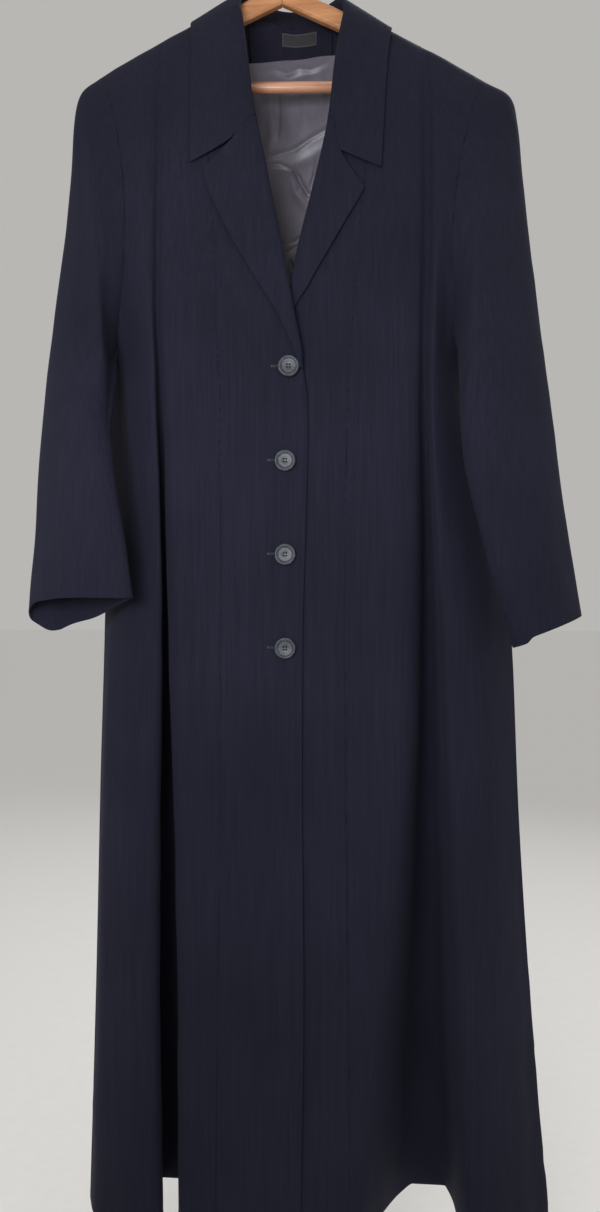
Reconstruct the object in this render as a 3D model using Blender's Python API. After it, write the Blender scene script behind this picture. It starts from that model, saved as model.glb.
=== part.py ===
"""A long single-breasted coat, buttoned, hung on a wooden hanger with a trouser bar.

Sizes are in millimetres until the meshes are made. +X is the viewer's right, +Y goes away from
the viewer, +Z is up. The origin is the inner top of the hanger's hook. "Left" and "right" are the
viewer's. The hanger hangs in the plane y = 0.
"""
import math

import bpy
import numpy as np

MM = 0.001

# Driving sizes
CENTRE_X = 12
NECK_HALF = 64
HEM_Z = -1450
UNDERARM_Z = -490
LEFT_SHOULDER_X = -206
RIGHT_SHOULDER_X = 226
CLOTH = 2.0
THIN_CLOTH = 1.4
SEAM_GAP = 0.3
BUTTON_PITCH = 100
BUTTON_RADIUS = 11.5
BUTTON_PLACES = (14, 10, 10, 10)
TOP_BUTTON_Z = -524

# A button's rim, as (distance in from its edge, height), its middle's height, and its clearance
BUTTON_RIM = ((1.2, 0), (0, 1), (0, 2.8), (0.9, 4), (2.4, 4), (3.6, 2.9))
BUTTON_DISH = 2.6
BUTTON_SEGMENTS = 24
BUTTON_CLEAR = 0.4

# Hanger
ARM_TOP_Z = -72
ARM_HEIGHT = 26
ARM_THICK = 12
ARM_REACH = 205
ARM_SLOPE = 0.455
ARM_CURVE = 0.0003
HANGER_TILT = 0.035
BAR_Z = -191
BAR_RADIUS = 6.5
BAR_STEP = 0.1
HOOK_WIRE = 2.0
HOOK_RADIUS = 24
HOOK_ARC = (215, -55, 15)
HOOK_STEM = ((9, -46.5), (3.5, -51.5), (0.6, -57), (0, -63))
WIRE_SIDES = 12
BAR_SIDES = 16
ARM_TAPER = 8
ARM_SHOULDER = ((0, 0.8), (2.5, 2.2), (5, 6.5), (6, 12))
ARM_EASE = (2.4, 3)
ARM_SHARES = (0.001, 0.12, 0.25, 0.4, 0.55, 0.7, 0.85, 0.95, 1)
CLOTH_OVER_ARM = 3.8

# How the cloth leaves the hanger: a rounded ridge, then a soft fall to its full depth
RIDGE = 9
RIDGE_DROP = 4
DRAPE_DROP = 110
NECK_EASE = 150


class Table:
    """Rows of named columns, the first of which is the key; values run smoothly between rows."""

    def __init__(self, columns, *rows):
        rows = sorted(rows)
        self.keys = np.array([row[0] for row in rows], float)
        self.columns = {name: np.array([row[i] for row in rows], float)
                        for i, name in enumerate(columns.split()) if i}

    def at(self, name, key):
        keys, values = self.keys, self.columns[name]
        key = min(max(key, keys[0]), keys[-1])
        i = int(np.clip(np.searchsorted(keys, key) - 1, 0, len(keys) - 2))
        width = keys[i + 1] - keys[i]
        slopes = np.diff(values) / np.diff(keys)

        def tangent(j):
            if j == 0 or j == len(keys) - 1:
                return slopes[min(j, len(slopes) - 1)]
            a, b = slopes[j - 1], slopes[j]
            return 0.0 if a * b <= 0 else 2 * a * b / (a + b)

        t = (key - keys[i]) / width
        start = (2 * t ** 3 - 3 * t ** 2 + 1) * values[i] + (t ** 3 - 2 * t ** 2 + t) * width * tangent(i)
        end = (3 * t ** 2 - 2 * t ** 3) * values[i + 1] + (t ** 3 - t ** 2) * width * tangent(i + 1)
        return float(start + end)


# The fronts, by height: the edge or roll line, the princess seam, the deep fold and the side roll
LEFT_FRONT = Table(
    "z edge princess near floor_in floor_out lip depth corner corner_y side side_y",
    (-90, -52, -104, -132, -135, -137, -142, 0, -170, -30, -206, -8),
    (-165, -39, -92, -129, -133, -136, -141, 1, -165, -40, -206, -8),
    (-222, -32, -84, -127, -131, -135, -139, 2, -163, -45, -206, -8),
    (-300, -16, -75, -125, -130, -134, -138, 4, -164, -48, -206, -8),
    (-376, -1, -69, -124, -129, -133, -137, 6, -166, -46, -204, -8),
    (-426, 9, -66, -122, -128, -132, -136, 8, -165, -42, -196, -6),
    (-490, 21, -64, -120, -127, -131, -134, 11, -162, -42, -184, -28),
    (-516, 27, -62, -119, -126, -131, -133, 13, -162, -40, -184, -12),
    (-560, 35, -61, -119, -126, -131, -132, 16, -165, -38, -204, 10),
    (-665, 33, -60, -117, -127, -133, -127, 28, -170, -38, -205, 8),
    (-800, 29, -60, -115, -128, -137, -124, 46, -182, -44, -205, -4),
    (-985, 28, -61, -109, -126, -142, -127, 64, -190, -52, -208, -12),
    (-1200, 30, -63, -104, -125, -145, -129, 80, -193, -54, -212, -14),
    (-1450, 26, -66, -105, -124, -147, -124, 92, -198, -56, -218, -18))

RIGHT_FRONT = Table(
    "z edge princess near floor_in floor_out lip depth corner corner_y side side_y",
    (-106, 76, 130, 152, 157, 161, 166, 0, 196, -28, 226, -8),
    (-182, 65, 116, 152, 158, 163, 168, 3, 190, -38, 224, -8),
    (-244, 60, 104, 152, 159, 164, 169, 5, 186, -44, 222, -8),
    (-328, 43, 93, 152, 159, 164, 169, 7, 184, -47, 218, -8),
    (-388, 28, 87, 151, 158, 163, 168, 9, 182, -45, 214, -8),
    (-428, 20, 84, 150, 157, 163, 168, 11, 181, -42, 208, -6),
    (-490, 8, 80, 149, 156, 162, 167, 13, 180, -42, 196, -28),
    (-516, 2, 78, 148, 155, 161, 166, 15, 180, -40, 196, -12),
    (-560, -7, 76, 148, 155, 161, 165, 18, 188, -38, 218, 10),
    (-665, -9, 74, 147, 157, 164, 169, 30, 204, -38, 236, 8),
    (-800, -13, 74, 145, 159, 169, 177, 47, 226, -42, 256, -2),
    (-985, -14, 75, 137, 158, 173, 183, 66, 230, -44, 262, -8),
    (-1200, -12, 77, 117, 153, 178, 191, 84, 240, -46, 275, -8),
    (-1450, -16, 80, 93, 146, 185, 204, 102, 255, -48, 295, -10))

FRONT_DEPTH = Table("z y", (-90, 60), (-300, 61), (-390, 66), (-450, 73), (-500, 71), (-560, 67),
                    (-1450, 66))
UNDERLAP = Table("z y", (-300, 0), (-390, 3), (-450, 8), (-500, 6), (-560, 3), (-1450, 3))
BACK_DEPTH = Table("z y", (-90, 48), (-480, 50), (-985, 56), (-1450, 62))
BACK_NECK_DIP = 7

# The back: two soft flares that deepen to the hem, and the corners that round to the side seams
BACK_FLARE = Table("z left_x right_x depth", (-520, -72, 92, 0), (-800, -76, 96, 6), (-1450, -88, 104, 16))
FLARE_HALF_WIDTH = 26
BACK_CORNER = Table("z left right y", (-90, -160, 172, 40), (-490, -156, 168, 38), (-560, -178, 196, 36),
                    (-800, -186, 236, 34), (-1200, -196, 252, 38), (-1450, -204, 270, 40))

# Rows of cloth down the body. In the armhole zone a row runs from the share "inner" of the way
# down the neck or roll line to the angle "around" of the armhole. Below it, rows are level.
ARMHOLE_ROWS = ((0, 0), (0.02, 15), (0.09, 29), (0.19, 46), (0.30, 63), (0.42, 81),
                (0.54, 99), (0.66, 117), (0.77, 135), (0.87, 151), (0.94, 166), (1, 180))
LEVEL_ROWS = (-512, -548, -590, -640, -695, -755, -820, -890, -965, -1045, -1130, -1220, -1330, HEM_Z)

# Named places across a front, each with its share of the way from the edge to the armhole
FRONT_PLACES = {"edge": 0, "princess": 0.32, "near": 0.6, "floor_in": 0.63, "floor_out": 0.66, "lip": 0.7,
                "corner": 0.85, "side": 1}
FRONT_COUNTS = (4, 3, 3, 1, 3, 3, 3)
PRINCESS_COLUMN = FRONT_COUNTS[0]
FOLD_LIMIT = 0.8
NEAR_SINK = 0.03
LIP_SINK = 2
LIP_FULL = 40
CORNER_ZONE = (-380, 110)
FLAT_ZONE = (-330, 90)
CORNER_TO_ARM = 0.58

# Places across the back: share of the way across, and share of the way out from the centre
BACK_PLACES = ((0.08, 0.75), (0.3, 0.3), (0.42, 0.1), (0.5, 0), (0.58, 0.1), (0.7, 0.3), (0.92, 0.75))
BACK_COUNTS = (2, 3, 2, 2, 2, 2, 3, 2)
BACK_CORNER_SHARE = 0.75

SLEEVE_STEPS = (0, 1, 2, 3, 4, 5, 5.5, 6, 6.5, 7, 7.5, 8, 8.5, 9, 9.5, 10)
SLEEVE_PINCH = 0.4
UNDER_SLEEVE = (len(ARMHOLE_ROWS) - 2, 2 * len(ARMHOLE_ROWS) - 6)

# The crease of each sleeve, seen from the front, from the head down to the inner edge
LEFT_CREASE = ((-225, -264), (-214, -388), (-204, -474), (-189, -542), (-178, -580))
CREASE_DEPTH = 6
CREASE_WIDTH = 16

# Lapels, from the gorge seam down: the roll line's height, a place half way, the outer edge, how
# proud the roll stands, and how far it stands out past the front's edge. Row 0 bends at the notch.
LAPEL_COLUMNS = "row roll_z bend_x bend_z edge_x edge_z proud out"
LEFT_LAPEL = Table(
    LAPEL_COLUMNS,
    (0, -246, -49, -273, -80, -303, 8.5, 5),
    (1, -275, -50, -297, -79, -318, 8.5, 5),
    (2, -305, -41, -326, -67, -346, 8.5, 5),
    (3, -343, -31, -358, -54, -372, 8.5, 5),
    (4, -385, -16, -398, -33, -411, 8.5, 5),
    (5, -426, -3, -434, -14, -441, 8.5, 5),
    (6, -464, 9, -465, 2, -466, 8, 5),
    (7, -492, 17, -492, 13, -491, 7, 5),
    (8, -512, 25, -512, 22.5, -511, 5, 4.6),
    (9, -526, 29, -526, 27, -526, 4.2, 4.2))
RIGHT_LAPEL = Table(
    LAPEL_COLUMNS,
    (0, -244, 66, -289, 94, -331, 8.5, 5),
    (1, -268, 60, -303, 89, -342, 8.5, 5),
    (2, -304, 57, -338, 73, -368, 8, 5),
    (3, -335, 49, -366, 58, -395, 7, 5),
    (4, -370, 37, -396, 42, -422, 6, 5),
    (5, -400, 29, -418, 35, -436, 5, 5),
    (6, -420, 24, -432, 30, -444, 4.4, 5),
    (7, -444, 19, -450, 22, -455, 4.2, 4.5),
    (8, -462, 14.5, -465, 16, -467, 4.2, 4))
GORGE_COLUMNS = 5
LAPEL_REST = 4.0
ROLL_INSET = 0.64
ROLL_START = 1.5
ROLL_HALF_WAY = 0.45
ROLL_TOP = 0.38

# The collar, from the left gorge round the back of the neck to the right gorge
# Rows 0 to 4 and 12 to 16 lie on the fronts, where "seam" is the roll line's height. Rows 5 to 11
# stand on the back neck seam, where "seam" is the place along it.
COLLAR = Table(
    "row seam roll_x roll_y roll_z edge_x edge_y edge_z",
    (0, -246, 0, 0, 0, -95, 0, -296),
    (1, -222, 0, 0, 0, -96, 0, -270),
    (2, -170, 0, 0, 0, -97, 0, -215),
    (3, -128, 0, 0, 0, -98, 0, -166),
    (4, -103, 0, 0, 0, -102, 0, -130),
    (5, -48, -40, 3, -73, -104, 2, -109),
    (6, -39, -33, 15, -74, -86, 25, -135),
    (7, -14, -13, 38, -77, -36, 38, -143),
    (8, 12, 12, 43, -78, 12, 48, -143),
    (9, 38, 37, 38, -80, 58, 38, -147),
    (10, 63, 58, 15, -83, 106, 25, -152),
    (11, 72, 64, 3, -87, 124, 2, -128),
    (12, -119, 0, 0, 0, 122, 0, -148),
    (13, -142, 0, 0, 0, 119, 0, -182),
    (14, -180, 0, 0, 0, 116, 0, -230),
    (15, -222, 0, 0, 0, 114, 0, -276),
    (16, -244, 0, 0, 0, 112, 0, -309))
COLLAR_ON_BACK = (5, 11)
COLLAR_STEPS = (1, 1, 1, 2, 2, 2, 2, 2, 2, 2, 2, 2, 2, 1, 1, 1)
COLLAR_SEAM_RISE = 1.2
COLLAR_OFF_BODY = 3.6
COLLAR_FOLD = (5.5, 1.5)
COLLAR_HOLLOW = 1.5
COLLAR_FALL = (0.4, 0.7, 1)
FOLD_COLUMN = 3
NECK_MIDDLE = (12, -8)

# Inside the neck. The facing's lower edge, where the lining starts, runs through (x, z).
FACING_EASE = 1.0
FACING_COLUMNS = (-43, -36, -28, -16, -2, 12, 26, 38, 48, 57)
FACING_SHARES = (0, 0.3, 0.65, 1)
FACING_TOP = Table("x drop", (-43, 14), (-30, 4), (-2, 1.5), (26, 1.5), (46, 5), (57, 14))
FACING_LOW = Table("x z", (-76, -150), (-37, -147), (8, -140), (34, -140), (57, -143), (96, -148))
LINING_EASE = 3.0
LINING_SHORT = 30
LINING_CLEAR = 2
LINING_ROW = 2
LABEL_X = 17
LABEL_HALF_WIDTH = 22
LABEL_TOP_Z = -112
LABEL_HEIGHT = 15
LABEL_THICK = 0.8
LABEL_GAP = 0.5
LABEL_GRID = (4, 9)

# Colours and finishes: base colour, roughness, metallic
FINISHES = {
    "coat cloth": ((0.018, 0.018, 0.030), 0.85, 0),
    "lining": ((0.080, 0.074, 0.105), 0.45, 0),
    "label": ((0.035, 0.036, 0.045), 0.7, 0),
    "button": ((0.060, 0.068, 0.090), 0.4, 0),
    "wood": ((0.520, 0.270, 0.100), 0.45, 0),
    "steel": ((0.62, 0.62, 0.62), 0.3, 1),
}


def material(name):
    found = bpy.data.materials.get(name)
    if found:
        return found
    colour, roughness, metallic = FINISHES[name]
    made = bpy.data.materials.new(name)
    made.use_nodes = True
    shader = made.node_tree.nodes["Principled BSDF"]
    shader.inputs["Base Color"].default_value = (*colour, 1)
    shader.inputs["Roughness"].default_value = roughness
    shader.inputs["Metallic"].default_value = metallic
    return made


def add_mesh(name, points, faces, finish, location=(0, 0, 0)):
    mesh = bpy.data.meshes.new(name)
    mesh.from_pydata([tuple(MM * c for c in p) for p in points], [], faces)
    mesh.validate()
    mesh.shade_smooth()
    mesh.set_sharp_from_angle(angle=math.radians(40))
    piece = bpy.data.objects.new(name, mesh)
    piece.location = [MM * c for c in location]
    piece.data.materials.append(material(finish))
    bpy.context.collection.objects.link(piece)
    return piece


def unit(vector):
    length = np.linalg.norm(vector, axis=-1, keepdims=True)
    return vector / np.maximum(length, 1e-9)


def normals_of(grid):
    """Normals of a grid [row][column] whose rows go down and columns to the viewer's right."""
    down = np.gradient(grid, axis=0)
    across = np.gradient(grid, axis=1)
    return unit(np.cross(across, -down))


def trimmed(grid, first_row=0, last_row=0, first_column=0, last_column=0):
    """The grid with each named edge drawn back along the cloth by the distance given."""
    grid = grid.copy()
    if first_row:
        grid[0] += unit(grid[1] - grid[0]) * first_row
    if last_row:
        grid[-1] += unit(grid[-2] - grid[-1]) * last_row
    if first_column:
        grid[:, 0] += unit(grid[:, 1] - grid[:, 0]) * first_column
    if last_column:
        grid[:, -1] += unit(grid[:, -2] - grid[:, -1]) * last_column
    return grid


def wall(name, outer, normals, thick, finish):
    """A sheet of cloth: the outer grid, an inner grid a thickness behind it, and the rims."""
    rows, columns = outer.shape[:2]
    inner = outer - normals * thick
    points = np.concatenate([outer.reshape(-1, 3), inner.reshape(-1, 3)])
    back = rows * columns
    faces = []
    for r in range(rows - 1):
        for c in range(columns - 1):
            a, b = r * columns + c, r * columns + c + 1
            d, e = a + columns, b + columns
            faces += [(a, d, e), (a, e, b), (back + a, back + e, back + d), (back + a, back + b, back + e)]
    rim = [(0, c) for c in range(columns)] + [(r, columns - 1) for r in range(1, rows)]
    rim += [(rows - 1, c) for c in range(columns - 2, -1, -1)] + [(r, 0) for r in range(rows - 2, 0, -1)]
    for (r0, c0), (r1, c1) in zip(rim, rim[1:] + rim[:1]):
        p, q = r0 * columns + c0, r1 * columns + c1
        if points[p][2] >= points[q][2]:
            faces += [(p, q, back + q), (p, back + q, back + p)]
        else:
            faces += [(p, q, back + p), (q, back + q, back + p)]
    return add_mesh(name, points, faces, finish)


def curve_through(points, counts):
    """Points along a smooth curve through the given ones, counts[i] steps from point i to the next."""
    p = np.array(points, float)
    ends = np.vstack([2 * p[0] - p[1], p, 2 * p[-1] - p[-2]])
    knots = np.concatenate([[0], np.cumsum(np.sqrt(np.linalg.norm(np.diff(ends, axis=0), axis=1)) + 1e-6)])
    out = [p[0]]
    for i, count in enumerate(counts):
        t0, t1, t2, t3 = knots[i:i + 4]
        q0, q1, q2, q3 = ends[i:i + 4]
        for step in range(1, count + 1):
            t = t1 + (t2 - t1) * step / count
            a1 = (t1 - t) / (t1 - t0) * q0 + (t - t0) / (t1 - t0) * q1
            a2 = (t2 - t) / (t2 - t1) * q1 + (t - t1) / (t2 - t1) * q2
            a3 = (t3 - t) / (t3 - t2) * q2 + (t - t2) / (t3 - t2) * q3
            b1 = (t2 - t) / (t2 - t0) * a1 + (t - t0) / (t2 - t0) * a2
            b2 = (t3 - t) / (t3 - t1) * a2 + (t - t1) / (t3 - t1) * a3
            out.append((t2 - t) / (t2 - t1) * b1 + (t - t1) / (t2 - t1) * b2)
    return np.array(out)


def arm_top(x):
    """Height of the hanger's upper edge."""
    reach = abs(x)
    return ARM_TOP_Z - ARM_SLOPE * reach - ARM_CURVE * reach ** 2 - HANGER_TILT * x


def in_neck(x):
    return abs(x - CENTRE_X) < NECK_HALF


def neck_bell(x):
    """1 at the centre of the neck, 0 from the neck points outwards."""
    share = min(abs(x - CENTRE_X) / NECK_HALF, 1)
    return math.cos(share * math.pi / 2) ** 2


def shoulder_z(x):
    """Height of the shoulder seam over the hanger, carried straight across the neck."""
    left, right = CENTRE_X - NECK_HALF, CENTRE_X + NECK_HALF
    if left < x < right:
        share = (x - left) / (right - left)
        return (arm_top(left) * (1 - share) + arm_top(right) * share) + CLOTH_OVER_ARM
    return arm_top(x) + CLOTH_OVER_ARM


# Sleeves. A ring runs from its outer point round the front to its inner point and back. "rise" is
# how far its front stands above the straight line between them and "drop" how far its back hangs
# below, both most towards the outer point.
SLEEVE_COLUMNS = "ring outer_x outer_y outer_z inner_x inner_y inner_z front back rise drop bow"
LEFT_SLEEVE = Table(
    SLEEVE_COLUMNS,
    (0, LEFT_SHOULDER_X, 0, shoulder_z(LEFT_SHOULDER_X), -184, -28, UNDERARM_Z, 36, 56, 0, 0, 26),
    (1, -224, -2, -178, -188, -36, -501, 36, 55, 0, 0, 20),
    (2, -235, -4, -190, -187, -45, -513, 35, 54, 0, 0, 15),
    (3, -240, -5, -222, -183, -53, -526, 34, 52, 0, 0, 11),
    (4, -243, -6, -280, -180, -60, -541, 33, 48, 0, 0, 8),
    (5, -249, -8, -352, -177, -67, -561, 32, 43, 0, 0, 5),
    (6, -258, -14, -436, -175, -76, -590, 30, 36, 0, 1, 3),
    (7, -266, -26, -530, -172, -84, -628, 28, 30, 1, 3, 0),
    (8, -270, -38, -622, -163, -91, -676, 26, 26, 4, 7, 0),
    (9, -273, -46, -706, -154, -95, -722, 24, 24, 7, 12, 0),
    (10, -279, -50, -790, -147, -98, -770, 24, 24, 10, 18, 0))

RIGHT_SLEEVE = Table(
    SLEEVE_COLUMNS,
    (0, RIGHT_SHOULDER_X, 0, shoulder_z(RIGHT_SHOULDER_X), 196, -28, UNDERARM_Z, 36, 56, 0, 0, -21),
    (1, 246, -2, -205, 200, -36, -501, 36, 55, 0, 0, -18),
    (2, 258, -4, -216, 200.5, -45, -513, 35, 54, 0, 0, -16),
    (3, 264, -5, -246, 198.5, -53, -526, 34, 52, 0, 0, -14),
    (4, 268, -6, -298, 196, -60, -541, 33, 48, 0, 0, -12),
    (5, 274, -8, -366, 193.5, -67, -562, 32, 44, 0, 0, -10),
    (6, 283, -14, -446, 194, -75, -594, 31, 38, 0, 0, -8),
    (7, 292, -24, -534, 197.5, -82, -638, 31, 34, 0, 0, -5),
    (8, 301, -34, -622, 211, -87, -694, 31, 32, 0, -1, -2),
    (9, 311, -42, -706, 226, -89, -754, 31, 31, 0, -2, 0),
    (10, 323, -48, -789, 246, -88, -817, 31, 31, 0, -2, 0))


def fall(drop, depth):
    """Distance from the hanger's plane of cloth that is drop below the shoulder seam."""
    drop = max(drop, 0)
    return RIDGE * (1 - math.exp(-drop / RIDGE_DROP)) + (depth - RIDGE) * (1 - math.exp(-drop / DRAPE_DROP))


def front_y(x, z):
    return -fall(shoulder_z(x) - z, FRONT_DEPTH.at("y", z))


def back_seam_z(x):
    return shoulder_z(x) - BACK_NECK_DIP * neck_bell(x)


def back_y(x, z):
    flare = 0
    for name in ("left_x", "right_x"):
        flare += BACK_FLARE.at("depth", z) * math.exp(-((x - BACK_FLARE.at(name, z)) / FLARE_HALF_WIDTH) ** 2)
    return fall(back_seam_z(x) - z + NECK_EASE * neck_bell(x), BACK_DEPTH.at("y", z)) - flare


def front_table(side):
    return LEFT_FRONT if side == "left" else RIGHT_FRONT


def sleeve_table(side):
    return LEFT_SLEEVE if side == "left" else RIGHT_SLEEVE


def sleeve_frame(side, ring):
    table = sleeve_table(side)
    outer = np.array([table.at("outer_" + axis, ring) for axis in "xyz"])
    inner = np.array([table.at("inner_" + axis, ring) for axis in "xyz"])
    return outer, inner


def sleeve_point(side, ring, angle, facing):
    """A point of a sleeve ring, at an angle from its outer point, on its front or back."""
    table = sleeve_table(side)
    outer, inner = sleeve_frame(side, ring)
    turn = math.radians(angle)
    sign, lift = (-1, table.at("rise", ring)) if facing == "front" else (1, -table.at("drop", ring))
    pinch = 1 + SLEEVE_PINCH * (1 - math.cos(turn)) / 2
    swell = max(math.sin(turn), 0)
    point = (outer + inner) / 2 + (outer - inner) / 2 * math.cos(turn)
    point += (table.at("bow", ring) * swell ** 2, sign * table.at(facing, ring) * swell ** pinch,
              lift * swell * (1 + math.cos(turn)))
    return point


def row_levels():
    """For each row: its share of the inner edge, and its armhole angle or its level."""
    return [("arm", inner, angle) for inner, angle in ARMHOLE_ROWS] + [("level", 1, z) for z in LEVEL_ROWS]


def blend_z(top, share_in, share_out, across):
    share = share_in * (1 - across) + share_out * across
    return top + (UNDERARM_Z - top) * share


def below(z, start, length):
    """0 above a height, rising to 1 over a length below it."""
    return min(max((start - z) / length, 0), 1)


def front_controls(side, kind, inner, value):
    """The control points of one row of a front, from its edge to the armhole or the side seam."""
    table = front_table(side)
    if kind == "arm":
        arm = sleeve_point(side, 0, value, "front")
        out = (arm[2] - sleeve_top_z(side)) / (UNDERARM_Z - sleeve_top_z(side))
    points = {}
    for name, share in FRONT_PLACES.items():
        z = value
        if kind == "arm":
            z = -300.0
            for _ in range(8):
                z = blend_z(shoulder_z(table.at(name, z)), inner, out, share)
        x = table.at(name, z)
        y = panel_y(side, x, z)
        depth = table.at("depth", z)
        if name in ("floor_in", "floor_out"):
            y += min(depth, abs(y) * FOLD_LIMIT) if kind == "arm" else depth
        elif name == "near":
            y += NEAR_SINK * depth
        elif name == "lip":
            y += LIP_SINK * min(depth / LIP_FULL, 1)
        elif name == "corner":
            low = below(z, *CORNER_ZONE)
            y = y * (1 - low) + table.at("corner_y", z) * low
        elif name == "side":
            x, y, z = arm if kind == "arm" else (x, table.at("side_y", z), z)
        points[name] = np.array([x, y, z])
    if kind == "arm":
        flat = points["lip"] * (1 - CORNER_TO_ARM) + points["side"] * CORNER_TO_ARM
        high = 1 - below(points["corner"][2], *FLAT_ZONE)
        corner = points["corner"] * (1 - high) + flat * high
        if high > 0:
            flat_y = (front_y(corner[0], corner[2]) + points["side"][1]) / 2
            corner[1] = corner[1] * (1 - high) + flat_y * high
        points["corner"] = corner
    return list(points.values())


def front_grid(side):
    rows = []
    for kind, inner, value in row_levels():
        controls = front_controls(side, kind, inner, value)
        row = curve_through(controls, FRONT_COUNTS)
        if kind == "arm" and inner == 0:
            for point in row:
                point[1] = 0
                point[2] = shoulder_z(point[0])
        rows.append(row)
    return np.array(rows)


def back_controls(kind, inner, value):
    """The control points of one row of the back, from the left armhole or side seam to the right."""
    ends = {}
    for side in ("left", "right"):
        table = front_table(side)
        ends[side] = (sleeve_point(side, 0, value, "back") if kind == "arm"
                      else np.array([table.at("side", value), table.at("side_y", value), value]))
    points = [ends["left"]]
    for place, out in BACK_PLACES:
        side = "left" if place < 0.5 else "right"
        x = ends["left"][0] + (ends["right"][0] - ends["left"][0]) * place if out else CENTRE_X
        z = value
        if kind == "arm":
            top = sleeve_top_z(side)
            z = blend_z(back_seam_z(x), inner, (ends[side][2] - top) / (UNDERARM_Z - top), out)
        y = back_y(x, z)
        if out == BACK_CORNER_SHARE:
            low = 1 if kind == "level" else below(z, *CORNER_ZONE)
            corner = np.array([BACK_CORNER.at(side, z), BACK_CORNER.at("y", z)])
            x, y = np.array([x, y]) * (1 - low) + corner * low
        points.append(np.array([x, y, z]))
    points.append(ends["right"])
    return points


def sleeve_top_z(side):
    return shoulder_z(sleeve_frame(side, 0)[0][0])


def back_grid():
    rows = []
    for kind, inner, value in row_levels():
        row = curve_through(back_controls(kind, inner, value), BACK_COUNTS)
        if kind == "arm" and inner == 0:
            for point in row:
                point[2] = back_seam_z(point[0])
                point[1] = back_y(point[0], point[2]) if in_neck(point[0]) else 0
        rows.append(row)
    return np.array(rows)


def sleeve_grid(side):
    """Rings down the sleeve; columns from the outer point round the front to the inner and back."""
    angles = [angle for _, angle in ARMHOLE_ROWS]
    rows = []
    for ring in SLEEVE_STEPS:
        front = [sleeve_point(side, ring, angle, "front") for angle in angles]
        back = [sleeve_point(side, ring, angle, "back") for angle in reversed(angles[1:-1])]
        rows.append(front + back + front[:1])
    return np.array(rows)


def crease(grid, normals, line):
    """Presses a crease into the front of a sleeve, along a line seen from the front."""
    line = np.array(line, float)
    front = len(ARMHOLE_ROWS)
    out = grid.copy()
    for r in range(2, grid.shape[0]):
        for c in range(1, front):
            point = grid[r, c, [0, 2]]
            best = 1e9
            for a, b in zip(line[:-1], line[1:]):
                share = np.clip(np.dot(point - a, b - a) / np.dot(b - a, b - a), 0, 1)
                best = min(best, np.linalg.norm(point - a - share * (b - a)))
            out[r, c] -= normals[r, c] * CREASE_DEPTH * math.exp(-(best / CREASE_WIDTH) ** 2)
    return out


def ring_normals(grid):
    """Normals of a tube whose last column repeats its first."""
    around = np.empty_like(grid)
    around[:, 1:-1] = grid[:, 2:] - grid[:, :-2]
    around[:, 0] = around[:, -1] = grid[:, 1] - grid[:, -2]
    down = np.gradient(grid, axis=0)
    normals = unit(np.cross(down, around))
    centres = grid[:, :-1].mean(axis=1, keepdims=True)
    flips = np.sign((normals * (grid - centres)).sum(axis=2).mean())
    return normals * flips


def outward(normals, towards):
    """The normals turned so that most of them point along the given direction."""
    return normals * np.sign((normals @ np.array(towards, float)).mean())


def upright(row):
    """Normals along the shoulder seam, in the hanger's plane and pointing up."""
    along = np.gradient(row, axis=0)
    normals = unit(np.stack([-along[:, 2], 0 * along[:, 0], along[:, 0]], axis=1))
    return normals * np.sign(normals[:, 2:])


def make_body():
    fronts = {side: front_grid(side) for side in ("left", "right")}
    back = back_grid()
    sleeves = {side: sleeve_grid(side) for side in ("left", "right")}
    arm_rows = len(ARMHOLE_ROWS)

    front_normals = {side: outward(normals_of(fronts[side]), (0, -1, 0)) for side in fronts}
    back_normals = outward(normals_of(back), (0, 1, 0))
    sleeve_normals = {side: ring_normals(sleeves[side]) for side in sleeves}
    sleeves["left"] = crease(sleeves["left"], sleeve_normals["left"], LEFT_CREASE)

    for side, back_column in (("left", 0), ("right", -1)):
        front = front_normals[side]
        for r in range(arm_rows, len(front)):
            shared = unit(front[r, -1] + back_normals[r, back_column])
            front[r, -1] = back_normals[r, back_column] = shared
        ring = sleeve_normals[side][0]
        for r in range(arm_rows):
            shared = unit(front[r, -1] + ring[r])
            front[r, -1] = ring[r] = shared
            column = (len(ring) - 1 - r) if r else 0
            shared = unit(back_normals[r, back_column] + ring[column])
            back_normals[r, back_column] = ring[column] = shared
        level = front[arm_rows, -1].copy()
        level[2] = 0
        ring[arm_rows - 1] = (0, 0, -1)
        underarm = unit(unit(level) + ring[arm_rows - 1])
        front[arm_rows - 1, -1] = back_normals[arm_rows - 1, back_column] = underarm
        sleeve_normals[side][0, -1] = sleeve_normals[side][0, 0]
        front[0] = upright(fronts[side][0])
    for c in range(back.shape[1]):
        if not in_neck(back[0, c, 0]):
            back_normals[0, c] = upright(back[0])[c]
    for side, back_column in (("left", 0), ("right", -1)):
        corner = front_normals[side][0, -1]
        back_normals[0, back_column] = corner
        sleeve_normals[side][0, 0] = sleeve_normals[side][0, -1] = corner
    return fronts, back, sleeves, front_normals, back_normals, sleeve_normals


def panel_y(side, x, z):
    return front_y(x, z) + (UNDERLAP.at("y", z) if side == "right" else 0)


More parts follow.
